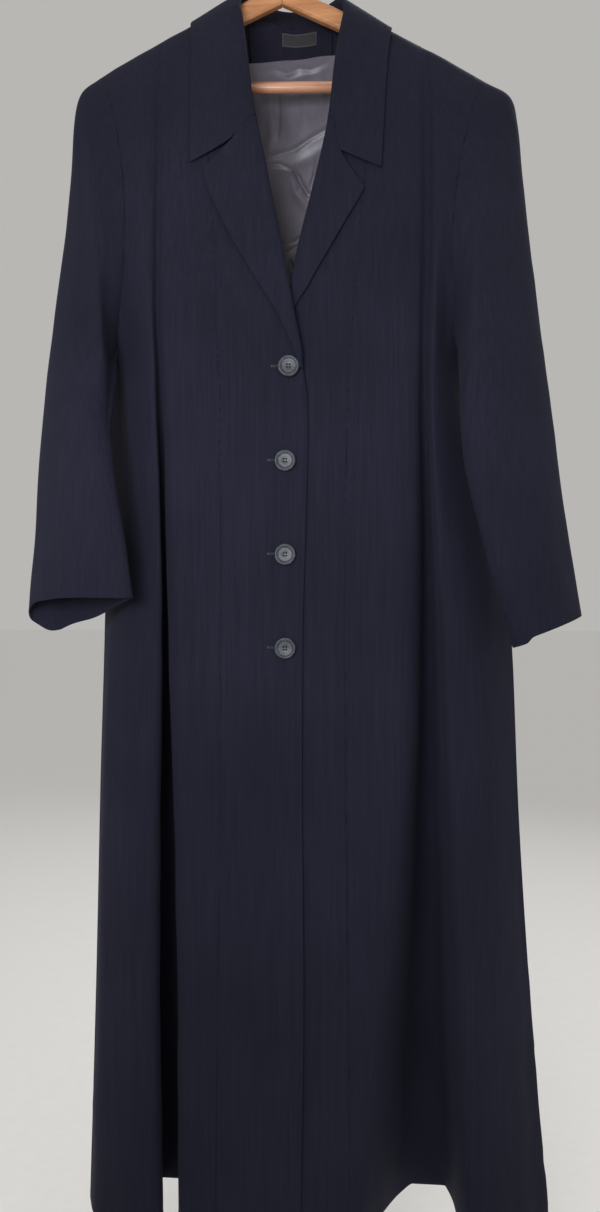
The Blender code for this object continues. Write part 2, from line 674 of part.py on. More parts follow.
def turned_row(side, roll_z, bend, edge, proud, out):
    """A row of cloth that rounds the roll line and lies back over the front, out to its edge."""
    roll = np.array([front_table(side).at("edge", roll_z), roll_z])
    bend, edge = np.array(bend, float), np.array(edge, float)
    to_neck = np.array([1 if side == "left" else -1, 0])
    base = panel_y(side, *roll)
    row = [(roll + to_neck * out * ROLL_INSET, base + ROLL_START),
           (roll + to_neck * out, base - proud * ROLL_HALF_WAY),
           (roll + to_neck * out * ROLL_TOP, base - proud)]
    steps = ((roll, bend, 0.45, 0.25), (roll, bend, 1, 0.5), (bend, edge, 0.5, 0.75), (bend, edge, 1, 1))
    for start, end, share, settled in steps:
        place = start + (end - start) * share
        row.append((place, panel_y(side, *place) - proud - (LAPEL_REST - proud) * settled))
    return [(x, y, z) for (x, z), y in row]


def lapel_grid(side):
    table = LEFT_LAPEL if side == "left" else RIGHT_LAPEL
    rows = []
    for row in table.keys:
        roll_z, bend_x, bend_z, edge_x, edge_z, *roll = (table.at(name, row) for name in table.columns)
        rows.append(turned_row(side, roll_z, (bend_x, bend_z), (edge_x, edge_z), *roll))
    return np.array(rows)


def off_body(point, gap):
    """The point, moved out square to the body if it is nearer to its cloth than the gap."""
    x, y, z = point
    if in_neck(x):
        return np.array([x, max(y, back_y(x, z) + gap) if y > 0 and z < back_seam_z(x) else y, z])
    top = shoulder_z(x)
    drops = np.concatenate([np.arange(0, 30, 0.5), np.arange(30, 300, 5)])
    skin = [(front_y(x, top - d), top - d) for d in drops]
    skin = np.array(skin + [(back_y(x, top - d), top - d) for d in drops])
    place = np.array([y, z])
    nearest = skin[np.argmin(np.linalg.norm(skin - place, axis=1))]
    away = place - nearest
    inside = z < top and front_y(x, z) < y < back_y(x, z)
    if inside:
        away = -away
    elif np.linalg.norm(away) >= gap:
        return np.array(point)
    place = nearest + unit(away) * gap
    return np.array([x, *place])


def collar_back_row(seam_x, roll, edge):
    """A row of the collar that stands on the back neck seam and folds over to its edge."""
    seam_z = back_seam_z(seam_x)
    seam = np.array([seam_x, back_y(seam_x, seam_z), seam_z + COLLAR_SEAM_RISE])
    out = unit(roll - (*NECK_MIDDLE, roll[2]))
    fold = roll + out * COLLAR_FOLD[0] - (0, 0, COLLAR_FOLD[1])
    stand = [seam, (seam + roll) / 2 - out * COLLAR_HOLLOW, roll, fold]
    return stand + [fold + (edge - fold) * share for share in COLLAR_FALL]


def collar_front_row(side, roll_z, edge, gorge):
    """A row of the collar on a front; the last one ends on the gorge seam and bends at its notch."""
    lapel = LEFT_LAPEL if side == "left" else RIGHT_LAPEL
    if gorge:
        bend = lapel.at("bend_x", 0), lapel.at("bend_z", 0)
    else:
        bend = (front_table(side).at("edge", roll_z) + edge[0]) / 2, (roll_z + edge[1]) / 2
    return turned_row(side, roll_z, bend, edge, lapel.at("proud", 0), lapel.at("out", 0))


def collar_grid():
    rows = []
    first, last = COLLAR_ON_BACK
    for row in COLLAR.keys:
        seam = COLLAR.at("seam", row)
        roll, edge = (np.array([COLLAR.at(f"{name}_{axis}", row) for axis in "xyz"]) for name in ("roll", "edge"))
        if first <= row <= last:
            rows.append(collar_back_row(seam, roll, edge))
        else:
            side = "left" if row < first else "right"
            gorge = row in (COLLAR.keys[0], COLLAR.keys[-1])
            rows.append(collar_front_row(side, seam, edge[[0, 2]], gorge))
    rows = np.array(rows, float)
    grid = np.stack([curve_through(rows[:, c], COLLAR_STEPS) for c in range(rows.shape[1])], axis=1)
    starts = np.concatenate([[0], np.cumsum(COLLAR_STEPS)])
    for r in range(starts[first], starts[last] + 1):
        x = grid[r, 0, 0]
        grid[r, 0, 1:] = back_y(x, back_seam_z(x)), back_seam_z(x) + COLLAR_SEAM_RISE
    for r in range(1, len(grid) - 1):
        for c in range(FOLD_COLUMN, grid.shape[1]):
            grid[r, c] = off_body(grid[r, c], COLLAR_OFF_BODY)
    return grid


def build_collar_and_lapels():
    half = SEAM_GAP / 2
    collar = collar_grid()
    collar_normals = normals_of(collar)
    lapels = {side: lapel_grid(side) for side in ("left", "right")}
    normals = {side: outward(normals_of(lapels[side]), (0, -1, 0)) for side in lapels}
    middle = collar_normals[len(collar) // 2, -1]
    collar_normals *= np.sign(middle[1])
    for side, row in (("left", 0), ("right", -1)):
        for c in range(GORGE_COLUMNS):
            shared = unit(collar_normals[row, c] + normals[side][0, c])
            collar_normals[row, c] = normals[side][0, c] = shared
    wall("collar", trimmed(collar, first_row=half, last_row=half), collar_normals, CLOTH, "coat cloth")
    for side in lapels:
        grid, directions = trimmed(lapels[side], first_row=half), normals[side]
        if side == "left":
            grid, directions = grid[:, ::-1], directions[:, ::-1]
        wall(f"lapel_{side}", grid, directions, CLOTH, "coat cloth")


def on_sheet(sheet, row, column):
    """A place on a grid, or its normal, between four of its points."""
    r, c = min(int(row), sheet.shape[0] - 2), min(int(column), sheet.shape[1] - 2)
    v, u = row - r, column - c
    top = sheet[r, c] * (1 - u) + sheet[r, c + 1] * u
    return top * (1 - v) + (sheet[r + 1, c] * (1 - u) + sheet[r + 1, c + 1] * u) * v


def inside_back(back, inward, x, z, depth):
    """The place at a given x and height on the inside of the back, a depth in, and its normal."""
    column = float(np.interp(x, back[1, :, 0], range(back.shape[1])))
    heights = [on_sheet(back, r, column)[2] for r in range(back.shape[0])]
    row = float(np.interp(-z, -np.array(heights), range(len(heights))))
    normal = unit(on_sheet(inward, row, column))
    return on_sheet(back, row, column) + normal * depth, normal


def inside_sheet(back, inward, places, depth):
    """A grid on the inside of the back through rows of (x, z), and its normals."""
    pairs = [[inside_back(back, inward, x, z, depth) for x, z in line] for line in places]
    return (np.array([[pair[i] for pair in line] for line in pairs]) for i in (0, 1))


def build_inside(back, back_normals):
    half = SEAM_GAP / 2
    inward = -back_normals
    ends = [(x, back_seam_z(x) - FACING_TOP.at("drop", x), FACING_LOW.at("z", x)) for x in FACING_COLUMNS]
    places = [[(x, top + (low - top) * share) for x, top, low in ends] for share in FACING_SHARES]
    facing, directions = inside_sheet(back, inward, places, CLOTH + FACING_EASE + THIN_CLOTH)
    wall("back_neck_facing", trimmed(facing, last_row=half), directions, THIN_CLOTH, "coat cloth")

    area = (slice(LINING_ROW, None), slice(LINING_CLEAR, -LINING_CLEAR))
    depth = CLOTH + LINING_EASE + THIN_CLOTH
    lining, directions = (back + inward * depth)[area], inward[area].copy()
    for c, (x, _, z) in enumerate(lining[0]):
        if z > FACING_LOW.at("z", x):
            lining[0, c], directions[0, c] = inside_back(back, inward, x, FACING_LOW.at("z", x), depth)
    sheet = trimmed(lining, first_row=half, last_row=LINING_SHORT)
    wall("back_lining", sheet, directions, THIN_CLOTH, "lining")

    rows, columns = LABEL_GRID
    xs = LABEL_X + np.linspace(-LABEL_HALF_WIDTH, LABEL_HALF_WIDTH, columns)
    places = [[(x, LABEL_TOP_Z - drop - HANGER_TILT * (x - LABEL_X)) for x in xs]
              for drop in np.linspace(0, LABEL_HEIGHT, rows)]
    depth = CLOTH + FACING_EASE + THIN_CLOTH + LABEL_GAP + LABEL_THICK
    wall("neck_label", *inside_sheet(back, inward, places, depth), LABEL_THICK, "label")


def turned(name, profile, segments, finish, location):
    """A round piece from a profile of (radius, height), its height towards the viewer."""
    points, faces = [], []
    rings = profile[1:-1]
    for radius, height in rings:
        for angle in circle(segments):
            points.append((radius * math.cos(angle), -height, radius * math.sin(angle)))
    for ring in range(len(rings) - 1):
        for k in range(segments):
            a, b = ring * segments + k, ring * segments + (k + 1) % segments
            faces.append((a, b, b + segments, a + segments))
    low, high = len(points), len(points) + 1
    points += [(0, -profile[0][1], 0), (0, -profile[-1][1], 0)]
    last = (len(rings) - 1) * segments
    for k in range(segments):
        faces.append((low, (k + 1) % segments, k))
        faces.append((high, last + k, last + (k + 1) % segments))
    return add_mesh(name, points, faces, finish, location)


def build_buttons():
    r = BUTTON_RADIUS
    rim = [(r - inset, height) for inset, height in BUTTON_RIM]
    profile = [(0, 0), *rim, (0, BUTTON_DISH)]
    for number, x in enumerate(BUTTON_PLACES):
        z = TOP_BUTTON_Z - BUTTON_PITCH * number
        nearest = min(front_y(x + dx, z + dz) for dx in (-r, 0, r) for dz in (-r, 0, r))
        turned(f"button_{number + 1}", profile, BUTTON_SEGMENTS, "button", (x, nearest - BUTTON_CLEAR, z))


def arm_height(reach):
    return ARM_HEIGHT - ARM_TAPER * (reach / ARM_REACH) ** 2


def build_hanger():
    half = ARM_THICK / 2
    for side, sign in (("left", -1), ("right", 1)):
        sections = []
        for share in ARM_SHARES:
            reach = ARM_REACH * share
            x, top = sign * reach, arm_top(sign * reach)
            bottom = top - arm_height(reach)
            outline = [(y, top - drop) for y, drop in ARM_SHOULDER]
            outline += [(half, bottom + ARM_EASE[1]), (half - ARM_EASE[0], bottom)]
            outline += [(-y, z) for y, z in outline[:0:-1]]
            sections.append([(x, y, z) for y, z in outline])
        loft(f"hanger_arm_{side}", sections, "wood")

    reach = bar_reach()
    sections = [[(x, BAR_RADIUS * math.cos(a), BAR_Z - HANGER_TILT * x + BAR_RADIUS * math.sin(a))
                 for a in circle(BAR_SIDES)] for x in (-reach, 0, reach)]
    loft("hanger_bar", sections, "wood")

    centre_z = HOOK_WIRE - HOOK_RADIUS
    route = [(HOOK_RADIUS * math.cos(math.radians(a)), centre_z + HOOK_RADIUS * math.sin(math.radians(a)))
             for a in range(HOOK_ARC[0], HOOK_ARC[1], -HOOK_ARC[2])]
    route = np.array(route + list(HOOK_STEM) + [(0, ARM_TOP_Z - ARM_SHOULDER[0][1] + SEAM_GAP)])
    along = unit(np.gradient(route, axis=0))
    sections = []
    for (x, z), (along_x, along_z) in zip(route, along):
        sections.append([(x - along_z * HOOK_WIRE * math.cos(a), HOOK_WIRE * math.sin(a),
                          z + along_x * HOOK_WIRE * math.cos(a)) for a in circle(WIRE_SIDES)])
    loft("hanger_hook", sections, "steel")


def circle(sides):
    return [2 * math.pi * k / sides for k in range(sides)]


def bar_reach():
    """Where the bar's upper corner meets the lower edge of an arm."""
    reach = ARM_REACH
    while arm_top(reach) + HANGER_TILT * reach - arm_height(reach) < BAR_Z + BAR_RADIUS + SEAM_GAP:
        reach -= BAR_STEP
    return reach


def loft(name, sections, finish):
    """A closed solid through sections of equally many points."""
    count = len(sections[0])
    points = [point for section in sections for point in section]
    faces = []
    for s in range(len(sections) - 1):
        for k in range(count):
            a, b = s * count + k, s * count + (k + 1) % count
            faces.append((a, a + count, b + count, b))
    faces += [tuple(range(count)), tuple(range(len(points) - 1, len(points) - count - 1, -1))]
    if signed_volume(points, faces) < 0:
        faces = [face[::-1] for face in faces]
    return add_mesh(name, points, faces, finish)


def signed_volume(points, faces):
    total = 0
    for face in faces:
        a = np.array(points[face[0]], float)
        for i in range(1, len(face) - 1):
            b, c = np.array(points[face[i]], float), np.array(points[face[i + 1]], float)
            total += np.dot(a, np.cross(b, c))
    return total


def build_cloth():
    fronts, back, sleeves, front_normals, back_normals, sleeve_normals = make_body()
    half = SEAM_GAP / 2
    for side in ("left", "right"):
        grid, normals = fronts[side], front_normals[side]
        grid = trimmed(grid, first_row=half, last_column=half, first_column=half)
        centre = trimmed(grid[:, :PRINCESS_COLUMN + 1], last_column=half)
        flank = trimmed(grid[:, PRINCESS_COLUMN:], first_column=half)
        for name, part, directions in (("centre", centre, normals[:, :PRINCESS_COLUMN + 1]),
                                       ("side", flank, normals[:, PRINCESS_COLUMN:])):
            if side == "left":
                part, directions = part[:, ::-1], directions[:, ::-1]
            wall(f"front_{side}_{name}", part, directions, CLOTH, "coat cloth")
    wall("back", trimmed(back, first_row=half, first_column=half, last_column=half)[:, ::-1],
         back_normals[:, ::-1], CLOTH, "coat cloth")

    under_start, under_end = UNDER_SLEEVE
    for side in ("left", "right"):
        grid = trimmed(sleeves[side], first_row=half)
        normals = sleeve_normals[side]
        under = trimmed(grid[:, under_start:under_end + 1], first_column=half, last_column=half)
        under_normals = normals[:, under_start:under_end + 1]
        top = np.concatenate([grid[:, under_end:-1], grid[:, :under_start + 1]], axis=1)
        top_normals = np.concatenate([normals[:, under_end:-1], normals[:, :under_start + 1]], axis=1)
        top = trimmed(top, first_column=half, last_column=half)
        if side == "right":
            under, under_normals = under[:, ::-1], under_normals[:, ::-1]
            top, top_normals = top[:, ::-1], top_normals[:, ::-1]
        wall(f"sleeve_{side}_top", top, top_normals, CLOTH, "coat cloth")
        wall(f"sleeve_{side}_under", under, under_normals, CLOTH, "coat cloth")
    return back, back_normals


def clear_scene():
    for piece in list(bpy.data.objects):
        bpy.data.objects.remove(piece, do_unlink=True)


clear_scene()
back_sheet, back_directions = build_cloth()
build_collar_and_lapels()
build_inside(back_sheet, back_directions)
build_buttons()
build_hanger()
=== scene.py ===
"""The look of a long dark coat, buttoned and hung on a wooden hanger with a trouser bar.

Places are in millimetres in the part's own frame until they reach a mesh: +X is the viewer's
right, +Y goes away from the viewer, +Z is up, and the origin is the inner top of the hook.
"""

import math

import bmesh
import bpy
import numpy as np
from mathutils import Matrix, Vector
from mathutils.bvhtree import BVHTree
from mathutils.kdtree import KDTree


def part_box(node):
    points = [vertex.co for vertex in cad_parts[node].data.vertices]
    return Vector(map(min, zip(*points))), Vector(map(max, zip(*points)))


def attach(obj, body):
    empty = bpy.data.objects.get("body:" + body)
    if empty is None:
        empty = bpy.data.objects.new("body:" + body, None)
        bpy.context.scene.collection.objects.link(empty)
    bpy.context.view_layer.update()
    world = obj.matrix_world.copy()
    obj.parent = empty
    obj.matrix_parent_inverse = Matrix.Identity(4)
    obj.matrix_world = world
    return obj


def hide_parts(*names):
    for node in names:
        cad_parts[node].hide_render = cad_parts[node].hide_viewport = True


MM = 0.001
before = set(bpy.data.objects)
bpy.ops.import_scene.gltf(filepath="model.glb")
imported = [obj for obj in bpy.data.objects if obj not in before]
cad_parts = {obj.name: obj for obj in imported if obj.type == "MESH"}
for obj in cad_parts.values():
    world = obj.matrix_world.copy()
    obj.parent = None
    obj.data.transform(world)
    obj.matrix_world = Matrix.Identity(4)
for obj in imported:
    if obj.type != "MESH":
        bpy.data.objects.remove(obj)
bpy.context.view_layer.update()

# The camera's bearing in degrees, the place it looks at, and how far off it stands
CAMERA_BEARING = 5
CAMERA_TARGET = (20, 0, -779)
CAMERA_DISTANCE = 1110
CAMERA_LENS = 29.1
SENSOR = 36

# The pale floor under the coat: its height, its reach in metres and its two close tones
FLOOR_Z = -1560
FLOOR_REACH = 30
FLOOR_TONES = ((0.3, (0.94, 0.935, 0.92)), (0.7, (0.96, 0.955, 0.94)))

# Lamps, in metres: place, target, width and height, watts, colour, and spread in degrees
LAMPS = {
    "window": ((-0.32, -1.42, -0.52), (0, 0, -0.57), (0.7, 0.5), 3.6, (0.96, 0.96, 1.0), 84),
    "fill": ((1.2, -1.5, -0.5), (0.05, 0, -0.62), (1.0, 0.8), 1.2, (0.96, 0.96, 1.0), 110),
    "behind": ((0.7, 2.0, 1.7), (0, 0.05, -0.6), (1.6, 0.8), 16, (1.0, 0.98, 0.96), 110),
}
ROOM_COLOUR = (1.0, 0.985, 0.955, 1)
ROOM_STRENGTH = 0.48

# Walls of cloth in the part, and how nearly an edge has to match its wall's thickness, in metres
CLOTH = 2.0
THIN_CLOTH = 1.4
LABEL_THICK = 0.8
EDGE_MATCH = 8e-6
# Points closer than this are one, in metres
SAME_CLOTH_POINT = 2e-5
SAME_HARD_POINT = 1e-5

# Each piece of cloth: its wall, how finely it is divided, the key of its material, the width and length
# of the rectangle it was cut from and the area of the cut, in metres, and what holds it up
SHELLS = {
    "front_left_centre": (CLOTH, 3, "coat_cloth", 0.13, 1.37, 0.112, "hanger_arm_left"),
    "front_left_side": (CLOTH, 3, "coat_cloth", 0.37, 1.36, 0.317, "hanger_arm_left"),
    "front_right_centre": (CLOTH, 3, "coat_cloth", 0.13, 1.35, 0.104, "hanger_arm_right"),
    "front_right_side": (CLOTH, 3, "coat_cloth", 0.38, 1.34, 0.323, "hanger_arm_right"),
    "back": (CLOTH, 3, "coat_cloth", 0.60, 1.37, 0.649, "hanger_arm_left"),
    "sleeve_left_top": (CLOTH, 3, "coat_cloth", 0.19, 0.66, 0.091, "hanger_arm_left"),
    "sleeve_left_under": (CLOTH, 3, "coat_cloth", 0.115, 0.56, 0.043, "hanger_arm_left"),
    "sleeve_right_top": (CLOTH, 3, "coat_cloth", 0.19, 0.65, 0.094, "hanger_arm_right"),
    "sleeve_right_under": (CLOTH, 3, "coat_cloth", 0.115, 0.56, 0.043, "hanger_arm_right"),
    "collar": (CLOTH, 3, "coat_cloth", 0.105, 0.56, 0.045, "back"),
    "lapel_left": (CLOTH, 3, "coat_cloth", 0.115, 0.27, 0.0126, "front_left_centre"),
    "lapel_right": (CLOTH, 3, "coat_cloth", 0.078, 0.21, 0.0069, "front_right_centre"),
    "back_neck_facing": (THIN_CLOTH, 3, "coat_cloth", 0.11, 0.05, 0.0040, "back"),
    "back_lining": (THIN_CLOTH, 3, "lining", 0.47, 1.30, 0.503, "back"),
    "neck_label": (LABEL_THICK, 2, "label", 0.045, 0.016, 0.0007, "back_neck_facing"),
}

# The pieces that hardly sag
SMALL_PIECES = ("collar", "lapel_left", "lapel_right", "back_neck_facing", "neck_label")

# Where a piece needs finer cells for its small folds and marks: its span in x and in z
FINER = {
    "back_lining": ((-50, 76), (-470, -126)),
    "front_left_side": ((-96, -70), (-852, -640)),
    "front_right_side": ((73, 124), (-880, -640)),
}

# Soft folds of the cloth on the side named. Each has its height out of the cloth, which is below
# zero for a trough, its half width, and the places in x and z that it runs through.
FRONT_FOLDS = (
    # left front: drape below the shoulder, beside the collar and down from the lapel's tip
    (-2.2, 14, ((-118, -150), (-122, -230), (-126, -310))),
    (1.6, 16, ((-150, -170), (-151, -260), (-150, -380), (-149, -520))),
    (1.4, 18, ((-98, -330), (-95, -450), (-92, -600), (-90, -760))),
    (-1.3, 12, ((-82, -700), (-84, -850), (-85, -1020), (-84, -1180))),
    (1.8, 22, ((-150, -700), (-158, -860), (-160, -1060), (-163, -1300), (-165, -1450))),
    (-1.8, 16, ((-186, -560), (-184, -680), (-183, -820), (-184, -1000))),
    (1.5, 20, ((-40, -760), (-36, -920), (-34, -1120), (-32, -1330), (-30, -1450))),
    (-1.6, 18, ((-2, -900), (0, -1080), (-2, -1260), (-3, -1450))),
    (-1.2, 10, ((-60, -345), (-50, -372), (-38, -396))),
    # right front
    (-2.0, 14, ((140, -160), (143, -240), (147, -330))),
    (1.6, 18, ((178, -190), (176, -300), (176, -420), (177, -540))),
    (1.4, 20, ((122, -330), (120, -460), (118, -610), (116, -780))),
    (-1.6, 16, ((98, -560), (100, -700), (102, -860), (100, -1040))),
    (1.9, 24, ((206, -700), (214, -860), (220, -1040), (226, -1240), (232, -1450))),
    (1.6, 22, ((66, -760), (66, -940), (62, -1140), (58, -1330), (54, -1450))),
    (-1.5, 16, ((28, -980), (26, -1130), (26, -1300), (25, -1450))),
    (-1.2, 10, ((78, -372), (66, -394), (54, -416))),
    # pull from the buttons
    (-0.9, 8, ((12, -575), (-20, -572), (-52, -580))),
    (-0.8, 8, ((10, -674), (-22, -676), (-50, -684))),
)
SLEEVE_FOLDS = (
    # left sleeve: the elbow's creases and the drag down to the cuff
    (-1.8, 10, ((-188, -560), (-206, -548), (-226, -556), (-246, -572))),
    (1.6, 14, ((-184, -596), (-206, -600), (-230, -612))),
    (-1.6, 12, ((-232, -250), (-236, -330), (-238, -420), (-244, -500))),
    (1.4, 14, ((-222, -620), (-222, -690), (-216, -760))),
    (-1.2, 10, ((-258, -640), (-262, -700), (-262, -770))),
    # right sleeve
    (-1.6, 12, ((204, -560), (224, -548), (246, -556), (268, -570))),
    (1.6, 14, ((206, -612), (230, -616), (256, -626))),
    (-1.6, 14, ((236, -260), (240, -340), (246, -430), (254, -520))),
    (1.4, 16, ((262, -600), (272, -680), (284, -760))),
    (-1.4, 12, ((236, -660), (246, -720), (258, -786))),
)
BACK_FOLDS = (
    (2.0, 26, ((-120, -150), (-128, -260), (-132, -400))),
    (2.0, 26, ((140, -170), (146, -280), (150, -410))),
    (-2.0, 20, ((-60, -200), (-62, -340), (-66, -520))),
    (-2.0, 22, ((84, -220), (86, -360), (88, -540))),
    (2.4, 26, ((-20, -420), (-22, -640), (-26, -900), (-30, -1200), (-34, -1450))),
    (2.4, 26, ((46, -420), (48, -640), (52, -900), (56, -1200), (60, -1450))),
    (-2.4, 20, ((12, -560), (12, -800), (12, -1100), (12, -1450))),
    (1.8, 24, ((-150, -620), (-156, -860), (-162, -1120), (-170, -1450))),
    (1.8, 24, ((180, -620), (192, -860), (204, -1120), (216, -1450))),
    (-1.6, 14, ((-140, -500), (-110, -486), (-70, -492))),
    (-1.6, 14, ((160, -500), (130, -486), (96, -494))),
)
# Edges of the pockets in the seams, pressed through to the outside
POCKET_MARKS = (
    (-0.5, 1.8, ((-77, -651), (-82, -730), (-88, -816), (-90, -842))),
    (-0.45, 1.8, ((79, -650), (109, -651), (116, -677), (113, -720), (113, -773), (116, -826),
                  (118, -866))),
)
# Wrinkles of the lining where it shows behind the bar: crisp ridges over softer hollows
LINING_FOLDS = (
    (1.9, 2.6, ((-30, -254), (-12, -250), (10, -244), (30, -232), (52, -222), (66, -214))),
    (1.3, 2.2, ((-26, -262), (-8, -260), (8, -266), (20, -282))),
    (-2.4, 8, ((-28, -268), (0, -264), (30, -252), (58, -236))),
    (2.0, 7, ((-19, -166), (-17, -190), (-14, -226), (-20, -246))),
    (1.2, 3, ((-10, -176), (-8, -205), (-10, -236))),
    (-1.8, 7, ((2, -158), (3, -190), (5, -232))),
    (1.6, 7, ((24, -156), (24, -180), (22, -210), (20, -232))),
    (-1.5, 6, ((40, -156), (42, -190), (46, -214))),
    (1.7, 2.4, ((10, -262), (16, -280), (26, -296), (40, -304), (50, -308))),
    (-1.6, 5, ((4, -268), (10, -292), (24, -310), (40, -318))),
    (1.4, 2.2, ((36, -256), (34, -274), (28, -292))),
    (1.8, 2.4, ((46, -318), (36, -330), (22, -344), (8, -352), (-2, -350))),
    (-1.6, 4, ((48, -328), (36, -342), (20, -356))),
    (1.7, 2.3, ((2, -362), (14, -356), (26, -364), (34, -374))),
    (1.8, 2.4, ((8, -372), (14, -384), (20, -402), (24, -424), (26, -450))),
    (1.3, 2.0, ((30, -384), (22, -396), (12, -404))),
    (-1.3, 3.5, ((2, -366), (6, -384), (14, -410), (18, -440))),
    (1.2, 3.0, ((-26, -158), (-12, -153), (2, -157), (16, -151), (30, -155), (50, -150))),
    (1.0, 2.4, ((-22, -166), (-14, -172), (-4, -168))),
    (-1.2, 4, ((-20, -160), (0, -163), (24, -160), (48, -158))),
)

# Buttons: half of the profile, as radius and height over the cloth, the holes and the thread
BUTTON_COUNT = 4
BUTTON_RADIUS = 11.5
BUTTON_PROFILE = ((0.0, 0.0), (9.6, 0.0), (10.8, 0.35), (11.4, 1.2), (11.5, 2.4), (11.1, 3.4),
                  (10.3, 3.95), (9.4, 3.9), (8.6, 3.45), (7.8, 2.95), (6.4, 2.75), (4.6, 2.9),
                  (3.6, 2.7), (0.0, 2.55))
BUTTON_STEPS = 64
BUTTON_HOLE_RADIUS = 1.0
BUTTON_HOLE_OFF = 2.1
BUTTON_HOLE_ANGLES = (45, 135, 225, 315)
BUTTON_DISH = 2.75
THREAD = 0.32
STRANDS = (-1.2, -0.4, 0.4, 1.2)

# Buttonholes: the reach and the rise of the slit from the button's middle, and their stitches
BUTTONHOLE_REACH = 18.0
BUTTONHOLE_RISE = 0.8
BUTTONHOLE_STITCH = 1.1
BUTTONHOLE_CLEAR = 0.4
STITCH_STEP = 0.42
STITCH_RADIUS = 0.17
STITCH_LIFT = 0.42
# The slit's shade is painted: a near-black tube of this radius, running on this far under the button
SLIT_RADIUS = 0.6
SLIT_UNDER_BUTTON = 2.5
BAR_STRANDS = 3

# Where a look at the cloth starts, and the depth taken where it meets none, in metres: from in
# front of the coat, and from inside the neck
FRONT_LOOK = (-0.3, -0.066)
NECK_LOOK = (0.008, 0.03)

# The label's own height, its border's inset and thread, and its stitches at both short ends
LABEL_HEIGHT = 15
BORDER_INSET = 1.1
BORDER_RADIUS = 0.28
BORDER_POINTS = 15
LABEL_STITCH = 1.5
LABEL_STITCH_STEP = 2.3
LABEL_STITCH_INSET = 1.6
LABEL_STITCH_RADIUS = 0.14

# Places where a piece is shifted: its centre, the reach and the shift. The sleeves lean on the
# body below the armholes, and the left cuff is bent to a corner at its front and its back.
LEFT_LEAN = ((-187, -46, -522), 30, (3.5, 0, 0))
RIGHT_LEAN = ((199, -38, -498), 34, (-5.5, 0, 0))
SIDE_LEANS = (((-187, -12, -522), 26, (-3.0, 0, 0)), ((197, -14, -500), 26, (2.5, 0, 0)))
LEFT_CUFF = (((-272, -70, -789), 18, (3, 0, 5)), ((-272, -38, -806), 13, (0, 0, 6)),
             ((-254, -22, -812), 9, (0, 0, -4)), ((-222, -28, -806), 24, (0, 0, 9)))
SHIFTS = {
    "lapel_left": (((31, -68, -527), 14, (-3.4, 0, 0)),),
    "front_left_side": SIDE_LEANS,
    "front_right_side": SIDE_LEANS,
    "back": SIDE_LEANS,
    "sleeve_left_top": (LEFT_LEAN, *LEFT_CUFF),
    "sleeve_left_under": (LEFT_LEAN, *LEFT_CUFF),
    "sleeve_right_top": (RIGHT_LEAN,),
    "sleeve_right_under": (RIGHT_LEAN,),
}

# The space between two sewn pieces, and the share of it that each of them crosses
SEAM_SPACE = 0.5
SEAM_CLOSE = 0.62
# An edge this near to another piece is sewn. The groove pressed along it, and how far it keeps
# the cloth beside it flat
SEAM_NEAR = 0.6
GROOVE_DEPTH = 0.8
GROOVE_HALF_WIDTH = 2.0
SEAM_FLAT = 9
# How sharp a sewn edge and a free edge are, and the turn in degrees that makes a corner
SEWN_CREASE = 1.0
FREE_CREASE = 0.55
CORNER_TURN = 140

# The step in the right cuff's hem: its height, where it is and how soft, and where it fades out
HEM_STEP = 5.0
HEM_STEP_X = 262
HEM_STEP_SOFT = 1.3
HEM_STEP_TOP = 740
HEM_STEP_REACH = 50

# The middle of a sleeve: the heights of its two ends, how far out it is and how far it swings
# forward, and how much further out the right one is
SLEEVE_TOP = -170
SLEEVE_END = -790
SLEEVE_OUT = (212, 8)
SLEEVE_FORWARD = (6, -78)
RIGHT_SLEEVE_MORE = 22

# Below this height the collar faces forwards, and above it away from the neck's middle, in metres
COLLAR_FALL_TOP = -0.16
NECK_Y = 0.02

# Slight waves of hung cloth: height, length across, length down, and where each begins
UNEVEN = ((0.55, 92, 210, 0.4), (0.40, 61, 140, 1.9), (0.28, 37, 96, 4.1))
SMALL_UNEVEN = 0.25
# How soon a fold reaches its full height as the cloth turns to the side that the fold is on
FACING_GAIN = 1.4


def new_material(name, colour, roughness, metallic=0.0, **sockets):
    """A Principled material with its constant values on the shader's own sockets."""
    made = bpy.data.materials.new(name)
    made.use_nodes = True
    shader = made.node_tree.nodes["Principled BSDF"]
    shader.inputs["Base Color"].default_value = (*colour, 1)
    shader.inputs["Roughness"].default_value = roughness
    shader.inputs["Metallic"].default_value = metallic
    for socket, value in sockets.items():
        shader.inputs[socket.replace("_", " ")].default_value = value
    return made


